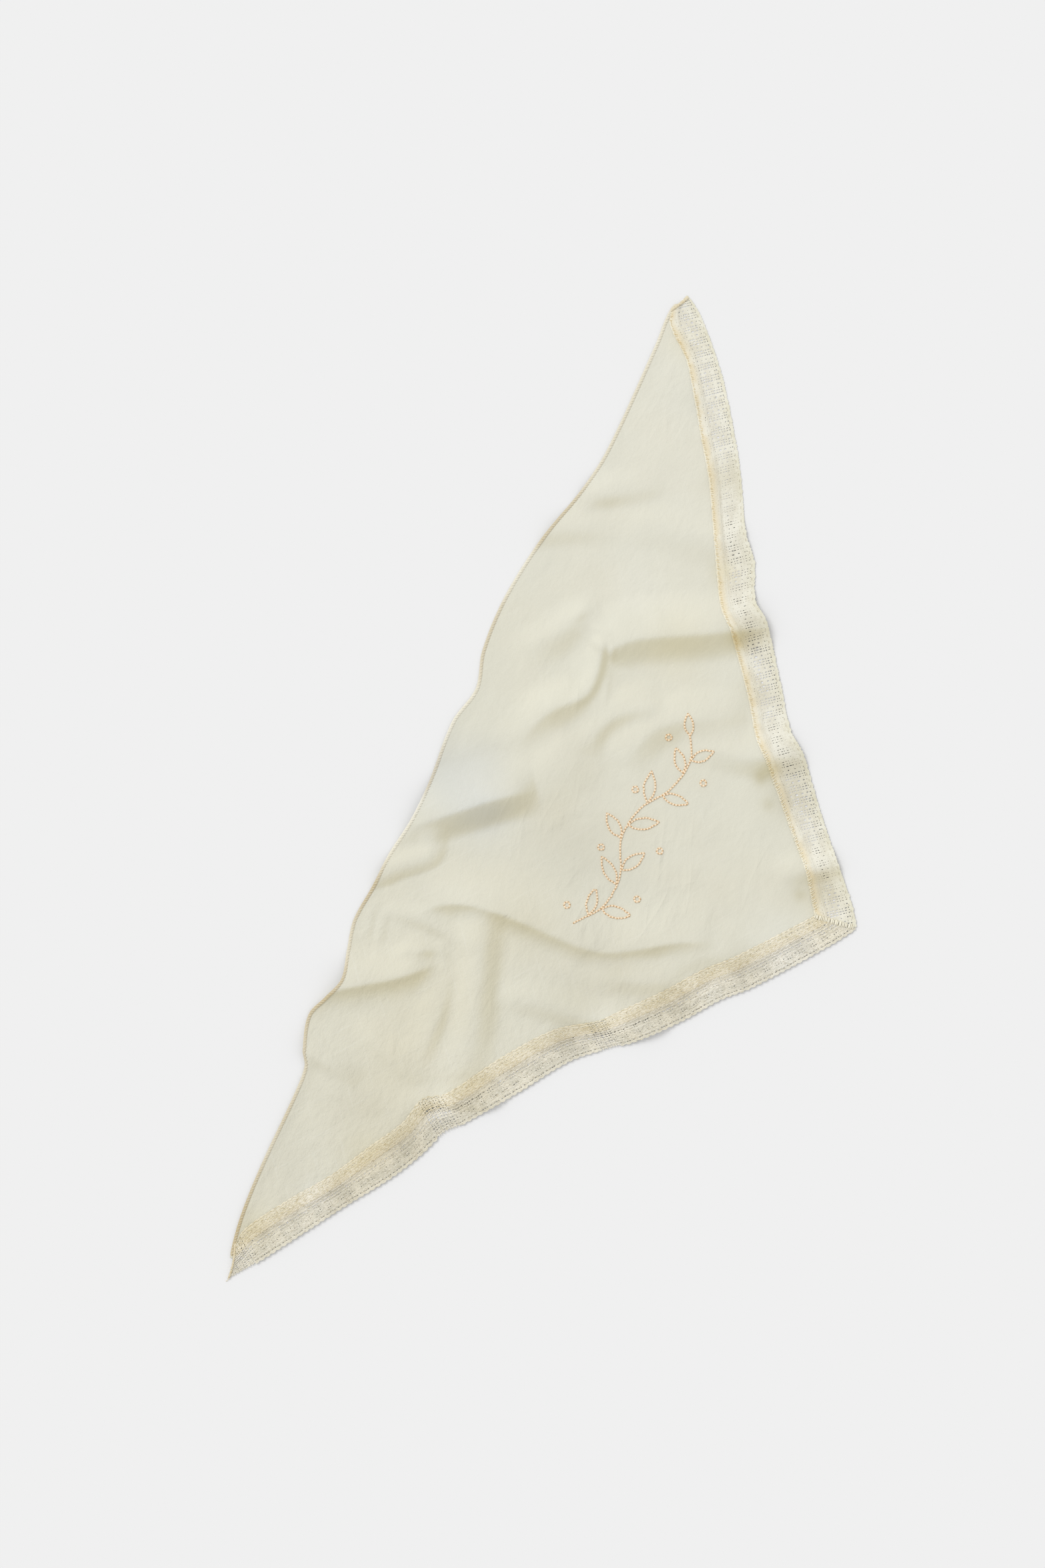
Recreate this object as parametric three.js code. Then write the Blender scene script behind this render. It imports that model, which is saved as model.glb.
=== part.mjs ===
// A triangular cotton neckerchief with a strip of lace along each short side, lying open on a table.
//
// Millimetres, +Z up. While it is shaped, the left tip of the long edge is at (0, 0) and the long edge runs
// along +X; at the end the whole kerchief is moved so that the origin is the middle of its footprint, on the
// surface it lies on. Cloth and lace are real sheets: their undersides lie on the surface between the folds
// and rise over it where a fold stands up.

import * as THREE from 'three';

// ---- Driving sizes -------------------------------------------------------------------------------------

const LEFT_TIP = new THREE.Vector2(0, 0);
const RIGHT_TIP = new THREE.Vector2(814, 0);
const POINT = new THREE.Vector2(438, -316); // the corner of the kerchief that hangs down the back when worn

const CLOTH_THICKNESS = 1;
const HEM_THICKNESS = 2; // the narrow rolled hem on the long edge
const LACE_THICKNESS = 1;
const LAYER_GAP = 0.4; // between the cloth and the lace that lies on it
const MITRE_GAP = 0.4; // between the two strips of lace where they meet at the point
const LACE_DROP = 3; // how far past the cloth's edge the lace comes down to the surface
const LACE_SURFACE_WIDTH = 4; // the least width of lace that is left outside that drop
const SEAM_COVER = 0.3; // the share of the seam at the point that lies over the cloth

const ROWS = 47; // rows of the cloth, from the long edge to the point
const HEM_ROW = 0.42; // the hem's inner line, counted in rows from the long edge

// ---- Outline tables ------------------------------------------------------------------------------------

// The long edge, as it lies: how far it stands out (rise) at each distance along it.
const LONG_EDGE = [
  { along: 0, rise: 0 },
  { along: 22, rise: 6.5 },
  { along: 50, rise: 11 },
  { along: 90, rise: 13 },
  { along: 150, rise: 13 },
  { along: 170, rise: 15 },
  { along: 180, rise: 21 },
  { along: 205, rise: 28.5 },
  { along: 222, rise: 23 },
  { along: 240, rise: 17.5 },
  { along: 262, rise: 23 },
  { along: 284, rise: 28 },
  { along: 312, rise: 26 },
  { along: 340, rise: 25 },
  { along: 370, rise: 21 },
  { along: 400, rise: 20.5 },
  { along: 450, rise: 24 },
  { along: 480, rise: 18.5 },
  { along: 508, rise: 26 },
  { along: 550, rise: 28 },
  { along: 600, rise: 22 },
  { along: 650, rise: 9.5 },
  { along: 685, rise: 5 },
  { along: 770, rise: 5.5 },
  { along: 800, rise: 6.5 },
  { along: 814, rise: 0 },
];

// A strip of lace beside each short side. Distances run from the tip of the long edge to the point, in a
// straight line; bow is how far the strip's outer edge lies inside that line, and width is the strip's own.
const LEFT_STRIP = [
  { along: 0, bow: 0, width: 12 },
  { along: 17, bow: 0, width: 19.5 },
  { along: 30, bow: 0.4, width: 25.6 },
  { along: 70, bow: 3, width: 26.2 },
  { along: 105, bow: 5.2, width: 24.5 },
  { along: 145, bow: 7, width: 27.8 },
  { along: 172, bow: 11, width: 27 },
  { along: 194, bow: 16.6, width: 29.8 },
  { along: 212, bow: 15.8, width: 25.4 },
  { along: 260, bow: 16.5, width: 28 },
  { along: 305, bow: 18, width: 25.5 },
  { along: 337, bow: 11.3, width: 22.5 },
  { along: 352, bow: 7.3, width: 24.8 },
  { along: 390, bow: 3.5, width: 25.5 },
  { along: 425, bow: 3.2, width: 25.3 },
  { along: 450, bow: -0.2, width: 25.6 },
  { along: 517, bow: -1.2, width: 24.2 },
  { along: 540, bow: 0, width: 23 },
];

const RIGHT_STRIP = [
  { along: 0, bow: 0, width: 12 },
  { along: 6.5, bow: -2.8, width: 16.8 },
  { along: 18, bow: -5.6, width: 23.6 },
  { along: 46, bow: -8.6, width: 21.6 },
  { along: 70, bow: -9.4, width: 23.6 },
  { along: 105, bow: -7.4, width: 24.6 },
  { along: 140, bow: -3.8, width: 24 },
  { along: 184, bow: 3.8, width: 24.4 },
  { along: 206, bow: 3.4, width: 28.6 },
  { along: 234, bow: 10.2, width: 26 },
  { along: 252, bow: 6.4, width: 27.6 },
  { along: 300, bow: 8, width: 25.4 },
  { along: 336, bow: 9.8, width: 26 },
  { along: 354, bow: 5.4, width: 27.8 },
  { along: 398, bow: 4, width: 25.4 },
  { along: 440, bow: 1.4, width: 24.6 },
  { along: 474, bow: -1, width: 28.6 },
  { along: 491, bow: 0, width: 29 },
];

// ---- Fold table ----------------------------------------------------------------------------------------

// One row for each fold that stands up from the surface. The crest is a short chain of [x, y, height]; going
// along it, the cloth falls steeply to the right and gently to the left, over the two widths given. shape
// says how it falls to the right: 1 is pinched, steepest at the crest, and -1 bulges, steepest at the foot.
const FOLDS = [
  {
    at: 'long edge, left end', steep: 11, gentle: 24, shape: 0.4,
    crest: [[184, 34, 4.5], [178, 10, 5.5], [176, -8, 4], [172, -28, 0]],
  },
  {
    at: 'before it', steep: 16, gentle: 18, shape: 0,
    crest: [[170, 6, 0], [166, -12, 1.8], [164, -34, 2], [160, -54, 0]],
  },
  {
    at: 'second wave', steep: 26, gentle: 30, shape: 1,
    crest: [
      [207, 36, 3], [223, 26, 5.5], [234, 13, 7.5], [245.5, -3, 8], [257, -19, 8],
      [269, -32, 7], [280, -42, 0],
    ],
  },
  {
    at: 'small crescent', steep: 8, gentle: 8, shape: 0.4,
    crest: [[272, -8, 0], [280, -18, 2], [285, -29, 2.6], [286, -40, 0]],
  },
  {
    at: 'beside the crescent', steep: 7, gentle: 7, shape: 0,
    crest: [[284, -2, 0], [289, -18, 1], [291, -38, 1.2], [287, -56, 0]],
  },
  {
    at: 'pinch', steep: 10, gentle: 13, shape: 0,
    crest: [[301, 12, 0], [305, -8, 2.5], [306, -32, 3.5], [302, -52, 2], [296, -64, 0]],
  },
  {
    at: 'ripple above', steep: 5, gentle: 8, shape: 0,
    crest: [[272, 14, 0], [283, 15, 1], [296, 18, 1], [306, 16, 0]],
  },
  {
    at: 'ripple below', steep: 7, gentle: 5, shape: 0,
    crest: [[262, 1, 0], [276, 4, 0.8], [290, 8, 1], [304, 12, 0]],
  },
  {
    at: 'third wave', steep: 11, gentle: 14, shape: -0.6,
    crest: [
      [317, 34, 2.5], [325, 24, 3.5], [336, 14, 4], [345, 4, 4], [353, -3, 3.5],
      [364, -1, 2], [372, 3, 0],
    ],
  },
  {
    at: 'largest fold', steep: 21, gentle: 38, shape: 0.3,
    crest: [
      [359, 30, 1.5], [366, 18.5, 4.5], [375.5, 8, 8.5], [386, -3.5, 12], [398, -16.5, 13.8],
      [409, -28.5, 13.8], [419.5, -41.5, 9.5], [430, -55.5, 0],
    ],
  },
  {
    at: 'its broad foot', steep: 44, gentle: 30, shape: 0,
    crest: [[398, -36, 0], [430, -50, 4], [464, -62, 4], [492, -80, 0]],
  },
  {
    at: 'long ridge', steep: 15, gentle: 40, shape: 0.7,
    crest: [
      [305, -14, 0], [316, -20, 3.5], [325, -32, 6], [331, -48, 8.5], [334, -66, 9.8],
      [335.5, -88, 9.8], [336, -112, 8.8], [337, -134, 7], [342, -154, 5.5], [351, -170, 5.5],
      [360, -183, 6], [368, -194, 6], [375, -206, 4.5], [382, -224, 0],
    ],
  },
  {
    at: 'left middle, upper', steep: 12, gentle: 22, shape: 0,
    crest: [
      [203, -62, 0], [222, -60, 2.2], [246, -59, 2.7], [268, -55, 2.6], [286, -46, 1.5],
      [298, -36, 0],
    ],
  },
  {
    at: 'left middle, lower', steep: 22, gentle: 22, shape: 0,
    crest: [[212, -100, 0], [236, -92, 3.8], [262, -83, 6], [290, -72, 7], [314, -62, 6], [332, -53, 0]],
  },
  {
    at: 'left middle, upright', steep: 12, gentle: 22, shape: 0.5,
    crest: [[216, -6, 0], [208, -22, 3], [202, -40, 4], [196, -58, 3.5], [188, -80, 0]],
  },
  {
    at: 'over the left lace, far', steep: 10, gentle: 16, shape: 0,
    crest: [[164, -58, 0], [176, -70, 1.5], [188, -86, 3], [196, -104, 3], [203, -126, 2]],
  },
  {
    at: 'over the left lace, near', steep: 16, gentle: 18, shape: 0,
    crest: [
      [280, -92, 0], [285, -112, 3.5], [289, -138, 4.5], [293, -162, 5], [298, -186, 4],
      [304, -212, 3],
    ],
  },
  {
    at: 'beside the left lace', steep: 14, gentle: 22, shape: 0.3,
    crest: [[318, -150, 0], [325, -166, 2.8], [331, -182, 3.6], [338, -200, 2.6], [346, -216, 0]],
  },
  {
    at: 'towards the point', steep: 16, gentle: 30, shape: 0,
    crest: [[352, -196, 0], [364, -210, 2.5], [376, -228, 3], [388, -250, 0]],
  },
  {
    at: 'winding fold', steep: 20, gentle: 26, shape: 0.4,
    crest: [
      [444, -27, 0], [462, -30, 3.6], [478, -35, 6], [491, -42, 8], [501, -52, 7.2],
      [511, -60, 4.2], [522, -60.5, 3], [535, -58, 3], [547, -56, 3], [557, -54, 0],
    ],
  },
  {
    at: 'above its end', steep: 22, gentle: 20, shape: 0.2,
    crest: [[514, 2, 0], [530, -10, 2.8], [544, -20, 4.2], [557, -28, 4.5], [567, -35, 3], [575, -42, 0]],
  },
  {
    at: 'straight ridge', steep: 23, gentle: 36, shape: 0.45,
    crest: [
      [541, -60, 0], [550, -63, 6.5], [560, -71, 9.8], [570, -86, 11], [579, -102, 11],
      [590, -122, 11], [600, -138, 9], [610, -154, 6], [620, -172, 4],
    ],
  },
  {
    at: 'right middle, upper', steep: 13, gentle: 22, shape: 0,
    crest: [[470, -80, 0], [486, -77, 3], [500, -81, 4], [512, -90, 4.5], [522, -102, 3.5], [530, -114, 0]],
  },
  {
    at: 'right middle, lower', steep: 20, gentle: 28, shape: 0.3,
    crest: [
      [472, -108, 0], [492, -110, 3.5], [509, -117, 5], [521, -129, 5.3], [530, -144, 5.2],
      [538, -160, 3.5], [545, -176, 0],
    ],
  },
  {
    at: 'over the right lace', steep: 18, gentle: 28, shape: 0.2,
    crest: [
      [512, -136, 0], [514, -160, 3.5], [517, -182, 5.5], [523, -198, 6.5], [531, -212, 4.5],
      [540, -228, 1.5],
    ],
  },
  {
    at: 'over the lace near the point', steep: 15, gentle: 18, shape: 0,
    crest: [[448, -244, 0], [459, -258, 3.5], [468, -271, 4.5], [476, -283, 3], [486, -296, 1]],
  },
  {
    at: 'over the right lace, far', steep: 24, gentle: 20, shape: 0,
    crest: [[640, -20, 0], [648, -50, 3], [654, -92, 3], [662, -108, 2.2], [672, -126, 1.2]],
  },
  {
    at: 'long edge, right', steep: 16, gentle: 20, shape: 0,
    crest: [[598, 38, 3], [614, 14, 3], [624, -6, 2.5], [632, -30, 0]],
  },
  {
    at: 'right end', steep: 14, gentle: 22, shape: 0,
    crest: [[636, 12, 0], [650, -3, 3.5], [658, -16, 3.6], [668, -32, 2], [684, -42, 0]],
  },
];

// ---- Curves through a table ----------------------------------------------------------------------------

// A smooth curve through one column of a table, as a function of the distance along.
function column(table, name) {
  const slope = table.map((row, i) => {
    const before = table[Math.max(i - 1, 0)];
    const after = table[Math.min(i + 1, table.length - 1)];
    return (after[name] - before[name]) / (after.along - before.along);
  });
  return (along) => {
    let i = 0;
    while (i < table.length - 2 && table[i + 1].along < along) i += 1;
    const start = table[i];
    const end = table[i + 1];
    const step = end.along - start.along;
    const t = THREE.MathUtils.clamp((along - start.along) / step, 0, 1);
    const rise = end[name] - start[name];
    const bend = t * (1 - t) * step;
    return start[name] + rise * t * t * (3 - 2 * t) + bend * (slope[i] * (1 - t) - slope[i + 1] * t);
  };
}

const longEdgeRise = column(LONG_EDGE, 'rise');

// ---- Height of the folds -------------------------------------------------------------------------------

const CREST_STEPS = 6; // straight pieces that a crest is followed by, for each stretch of its chain

const crests = FOLDS.map((fold) => {
  const chain = fold.crest.map((point) => new THREE.Vector3(...point));
  const curve = new THREE.CatmullRomCurve3(chain, false, 'centripetal');
  return { ...fold, line: curve.getPoints(CREST_STEPS * (fold.crest.length - 1)) };
});

// The nearest place on a crest: how far away it is, on which side, and how high the crest is there.
function nearestOnCrest(line, x, y) {
  let best = { distance: Infinity };
  for (let i = 0; i < line.length - 1; i += 1) {
    const runX = line[i + 1].x - line[i].x;
    const runY = line[i + 1].y - line[i].y;
    const offX = x - line[i].x;
    const offY = y - line[i].y;
    const t = THREE.MathUtils.clamp((offX * runX + offY * runY) / (runX * runX + runY * runY), 0, 1);
    const distance = Math.hypot(offX - t * runX, offY - t * runY);
    if (distance < best.distance) {
      const height = THREE.MathUtils.lerp(line[i].z, line[i + 1].z, t);
      best = { distance, height, rightSide: offX * runY - offY * runX > 0 };
    }
  }
  return best;
}

// What is left of the crest's height at a share of the way down from the crest to the foot.
function leftOver(share, shape) {
  const even = (1 + Math.cos(Math.PI * share)) / 2;
  const bent = shape > 0 ? (1 - share) ** 3 : 1 - share ** 3;
  return THREE.MathUtils.lerp(even, bent, Math.abs(shape));
}

function foldHeight(x, y) {
  let height = 0;
  for (const fold of crests) {
    const near = nearestOnCrest(fold.line, x, y);
    const reach = near.rightSide ? fold.steep : fold.gentle;
    const shape = near.rightSide ? fold.shape : 0;
    if (near.distance < reach) height += near.height * leftOver(near.distance / reach, shape);
  }
  return height;
}

// ---- Sections across a short side ----------------------------------------------------------------------

// A short side of the kerchief. Each section crosses the strip of lace from its inner edge, over the edge of
// the cloth below it, to its outer edge. Sections run square across, and lean over near the two ends so that
// the first lies in the long edge and the last in the seam at the point.
function shortSide({ tip, strip, cover, tipLean, pointLean, leanReach }) {
  const length = tip.distanceTo(POINT);
  const ahead = POINT.clone().sub(tip).divideScalar(length);
  const inward = new THREE.Vector2(-ahead.y, ahead.x);
  if (inward.y < 0) inward.negate();
  const bow = column(strip, 'bow');
  const width = column(strip, 'width');
  const place = (along, across) => tip.clone().addScaledVector(ahead, along).addScaledVector(inward, across);
  const fade = (distance) => Math.max(0, 1 - distance / leanReach);

  return (row) => {
    const share = row / ROWS;
    const outerAlong = share * length;
    const toPoint = fade(length - outerAlong);
    const innerAlong = outerAlong + tipLean * fade(outerAlong) + pointLean * toPoint;
    const inner = place(innerAlong, bow(innerAlong) + width(innerAlong));
    const outer = place(outerAlong, bow(outerAlong));
    const across = width(innerAlong);
    const covered = THREE.MathUtils.lerp(cover / across, SEAM_COVER, toPoint);
    const dropped = Math.min(covered + LACE_DROP / across, 1 - LACE_SURFACE_WIDTH / across);
    return {
      row,
      inner,
      clothEdge: inner.clone().lerp(outer, covered),
      landed: inner.clone().lerp(outer, dropped),
      outer,
      back: ahead.clone().multiplyScalar(-MITRE_GAP / 2),
    };
  };
}

const leftSection = shortSide({
  tip: LEFT_TIP,
  strip: LEFT_STRIP,
  cover: 9, // how far the lace lies over the cloth
  tipLean: 16.8,
  pointLean: -22.8,
  leanReach: 46,
});

const rightSection = shortSide({
  tip: RIGHT_TIP,
  strip: RIGHT_STRIP,
  cover: 5.5,
  tipLean: 6.5,
  pointLean: -16.8,
  leanReach: 46,
});

const levels = [0, HEM_ROW];
for (let row = 1; row <= ROWS; row += 1) levels.push(row);

const leftSections = levels.map(leftSection);
const rightSections = levels.map(rightSection);

// ---- Sheets --------------------------------------------------------------------------------------------

// Collects the points of a sheet, each with the height of its underside and top, and the triangles between.
class Sheet {
  constructor() {
    this.points = [];
    this.triangles = [];
  }

  add(place, underside, thickness) {
    this.points.push({ x: place.x, y: place.y, low: underside, high: underside + thickness });
    return this.points.length - 1;
  }

  // The corners are given anticlockwise as seen from above.
  triangle(a, b, c) {
    this.triangles.push([a, b, c]);
  }

  quad(a, b, c, d) {
    this.triangle(a, b, c);
    this.triangle(a, c, d);
  }

  // Top, underside, and an upright wall along every edge that only one triangle has.
  geometry() {
    const count = this.points.length;
    const positions = [];
    for (const level of ['high', 'low']) {
      for (const point of this.points) positions.push(point.x, point.y, point[level]);
    }
    const open = new Map();
    const index = [];
    for (const [a, b, c] of this.triangles) {
      index.push(a, b, c, a + count, c + count, b + count);
      for (const [from, to] of [[a, b], [b, c], [c, a]]) {
        if (!open.delete(`${to} ${from}`)) open.set(`${from} ${to}`, [from, to]);
      }
    }
    for (const [from, to] of open.values()) {
      index.push(from, from + count, to + count, from, to + count, to);
    }
    const geometry = new THREE.BufferGeometry();
    geometry.setAttribute('position', new THREE.Float32BufferAttribute(positions, 3));
    geometry.setIndex(index);
    geometry.computeVertexNormals();
    return geometry;
  }
}

// The hem is the part of the cloth above its inner line, rolled to twice the thickness.
function clothThickness(row) {
  return row <= HEM_ROW ? HEM_THICKNESS : CLOTH_THICKNESS;
}

// ---- The cloth -----------------------------------------------------------------------------------------

// Rows run from the left lace to the right lace. The first follows the long edge and each next one has one
// step less, until the last is the single point where the two strips of lace meet.
function clothGeometry() {
  const sheet = new Sheet();
  const put = (place, row) => sheet.add(place, foldHeight(place.x, place.y), clothThickness(row));

  const rows = levels.map((row, level) => {
    const from = leftSections[level].inner;
    const to = rightSections[level].inner;
    const steps = ROWS - Math.floor(row);
    const wave = (1 - row / ROWS) ** 2;
    const line = [];
    for (let step = 0; step <= steps; step += 1) {
      const share = step / Math.max(steps, 1);
      const place = from.clone().lerp(to, share);
      const straight = THREE.MathUtils.lerp(leftSections[0].inner.y, rightSections[0].inner.y, share);
      if (step > 0 && step < steps) place.y += (longEdgeRise(place.x) - straight) * wave;
      line.push(put(place, row));
    }
    return line;
  });

  for (let level = 1; level < rows.length; level += 1) {
    const upper = rows[level - 1];
    const lower = rows[level];
    for (let step = 0; step < upper.length - 1; step += 1) {
      sheet.triangle(upper[step], lower[step], upper[step + 1]);
      if (step + 1 < lower.length) sheet.triangle(upper[step + 1], lower[step], lower[step + 1]);
    }
  }

  const tuckedLeft = leftSections.map((section) => put(section.clothEdge, section.row));
  const tuckedRight = rightSections.map((section) => put(section.clothEdge, section.row));
  tuckedRight[tuckedRight.length - 1] = tuckedLeft[tuckedLeft.length - 1];
  for (let level = 1; level < rows.length; level += 1) {
    const above = rows[level - 1];
    const here = rows[level];
    sheet.quad(above[0], tuckedLeft[level - 1], tuckedLeft[level], here[0]);
    sheet.quad(above.at(-1), here.at(-1), tuckedRight[level], tuckedRight[level - 1]);
  }
  return sheet.geometry();
}

// ---- The lace ------------------------------------------------------------------------------------------

// A strip lies on the cloth's edge, comes down past it, and lies on the surface from there to its outer edge.
function laceGeometry(sections, leftHanded) {
  const sheet = new Sheet();
  const lines = sections.map((section, level) => {
    const last = level === sections.length - 1;
    const onCloth = clothThickness(section.row) + LAYER_GAP;
    const put = (place, above) => {
      const spot = last ? place.clone().add(section.back) : place;
      return sheet.add(spot, foldHeight(spot.x, spot.y) + above, LACE_THICKNESS);
    };
    return [
      put(section.inner, onCloth),
      put(section.clothEdge, onCloth),
      put(section.landed, 0),
      put(section.outer, 0),
    ];
  });
  for (let level = 1; level < lines.length; level += 1) {
    const above = lines[level - 1];
    const here = lines[level];
    for (let i = 1; i < here.length; i += 1) {
      if (leftHanded) sheet.quad(above[i - 1], above[i], here[i], here[i - 1]);
      else sheet.quad(above[i - 1], here[i - 1], here[i], above[i]);
    }
  }
  return sheet.geometry();
}

// ---- The kerchief --------------------------------------------------------------------------------------

const cottonCloth = new THREE.MeshStandardMaterial({ color: 0xe2dfcf, roughness: 0.9, metalness: 0 });
const cottonLace = new THREE.MeshStandardMaterial({ color: 0xddd4bb, roughness: 0.95, metalness: 0 });

function named(name, geometry, material) {
  const mesh = new THREE.Mesh(geometry, material);
  mesh.name = name;
  return mesh;
}

const kerchief = new THREE.Group();
kerchief.add(named('cloth', clothGeometry(), cottonCloth));
kerchief.add(named('lace_left', laceGeometry(leftSections, true), cottonLace));
kerchief.add(named('lace_right', laceGeometry(rightSections, false), cottonLace));

const box = new THREE.Box3().setFromObject(kerchief);
const middle = box.getCenter(new THREE.Vector3());
kerchief.position.set(-middle.x, -middle.y, -box.min.z);

export default kerchief;
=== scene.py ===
"""A triangular cotton neckerchief with a strip of lace along each short side, lying open on a pale table.

Shapes are worked out in millimetres in the measuring frame of the part's source: the left tip of the long
edge at (0, 0), the long edge along +X, +Z up. They become metres in the part's frame when a mesh is made.
"""

import math
from collections import namedtuple

import bpy
import numpy as np
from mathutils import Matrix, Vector


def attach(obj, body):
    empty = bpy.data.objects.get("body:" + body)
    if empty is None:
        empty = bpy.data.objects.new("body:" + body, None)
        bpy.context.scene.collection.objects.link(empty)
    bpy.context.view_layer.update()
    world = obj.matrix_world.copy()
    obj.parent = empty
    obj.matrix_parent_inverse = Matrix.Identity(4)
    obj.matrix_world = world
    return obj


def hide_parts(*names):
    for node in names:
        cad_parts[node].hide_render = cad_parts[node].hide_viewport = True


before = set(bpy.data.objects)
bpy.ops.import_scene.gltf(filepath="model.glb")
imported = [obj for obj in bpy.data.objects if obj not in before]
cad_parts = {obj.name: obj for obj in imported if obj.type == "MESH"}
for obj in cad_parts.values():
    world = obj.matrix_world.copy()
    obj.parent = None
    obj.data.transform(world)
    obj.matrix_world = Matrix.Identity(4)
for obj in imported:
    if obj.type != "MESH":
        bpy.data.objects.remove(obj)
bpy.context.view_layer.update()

# ---- Sizes, in millimetres ----

ORIGIN = np.array([407.0, -143.7])  # the middle of the kerchief's footprint
LEFT_TIP = np.array([0.0, 0.0])
RIGHT_TIP = np.array([814.0, 0.0])
POINT = np.array([438.0, -316.0])  # the corner that hangs down the back when the kerchief is worn

CLOTH_THICKNESS = 0.35
CLOTH_PITCH = 1.7  # between the points of the cloth's mesh
LACE_WIDTH = 26.8  # as made; the strip is laid a little wider or narrower
SCALLOP_PITCH = 4.9  # of the scallops along both edges of the lace
LACE_GAP = 0.05  # between the cloth and the lace that lies on it
LACE_DROP = 3.0  # how far past the cloth's edge the lace comes down to the surface
SEAM_COVER = 0.3  # the share of the seam at the point that lies over the cloth
LEAN_REACH = 46.0  # how far from each end of a short side the cloth's edge slants along with the lace

KEY_FROM = (0.34, 0.94, 1.0)  # towards the key light, over the kerchief's long edge


def rows(names, *values):
    """A table: one array for each named column."""
    return dict(zip(names.split(), np.array(values, float).T))


# ---- Outline ----

# rise, bow and width are as in the part's source. lift is how far the edge itself stands off the surface.
LONG_EDGE = rows(
    "along rise lift",
    (0, 0, 0.3), (22, 6.5, 0.8), (50, 11, 1.1), (90, 13, 0.9), (150, 13, 1.3), (170, 15, 0.8),
    (180, 21, 0.2), (205, 28.5, 0.2), (222, 23, 0.3), (240, 17.5, 0.2), (262, 23, 0.2), (284, 28, 0.3),
    (312, 26, 0.5), (340, 25, 0.3), (370, 21, 0), (400, 20.5, 0.3), (450, 24, 0.8), (480, 18.5, 0.5),
    (508, 26, 0), (550, 28, 0), (600, 22, 0), (650, 9.5, 0), (685, 5, 0.4), (770, 5.5, 0.3),
    (800, 6.5, 0.2), (814, 0, 0.2),
)

LEFT_STRIP = rows(
    "along bow width lift",
    (0, 0, 12, 0.7), (17, 0, 19.5, 1.0), (30, 0.4, 25.6, 1.5), (70, 3, 26.2, 1.6), (105, 5.2, 24.5, 1.5),
    (145, 7, 27.8, 1.5), (172, 11, 27, 1.4), (194, 16.6, 29.8, 1.5), (212, 15.8, 25.4, 1.4),
    (260, 16.5, 28, 1.5), (305, 18, 25.5, 1.4), (337, 11.3, 22.5, 1.3), (352, 7.3, 24.8, 1.3),
    (390, 3.5, 25.5, 1.6), (425, 3.2, 25.3, 1.5), (450, -0.2, 25.6, 1.5), (517, -1.2, 24.2, 1.3),
    (540, 0, 23, 0.9),
)

RIGHT_STRIP = rows(
    "along bow width lift",
    (0, 0, 12, 0.3), (6.5, -2.8, 16.8, 0.3), (18, -5.6, 23.6, 0.3), (46, -8.6, 21.6, 0.3),
    (70, -9.4, 23.6, 0.3), (105, -7.4, 24.6, 0.3), (140, -3.8, 24, 0.3), (184, 3.8, 24.4, 0.4),
    (206, 3.4, 28.6, 0.6), (234, 10.2, 26, 0.8), (252, 6.4, 27.6, 0.8), (300, 8, 25.4, 0.7),
    (336, 9.8, 26, 0.8), (354, 5.4, 27.8, 0.8), (398, 4, 25.4, 0.8), (440, 1.4, 24.6, 0.8),
    (474, -1, 28.6, 0.9), (491, 0, 29, 0.8),
)

# ---- Folds ----

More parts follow.
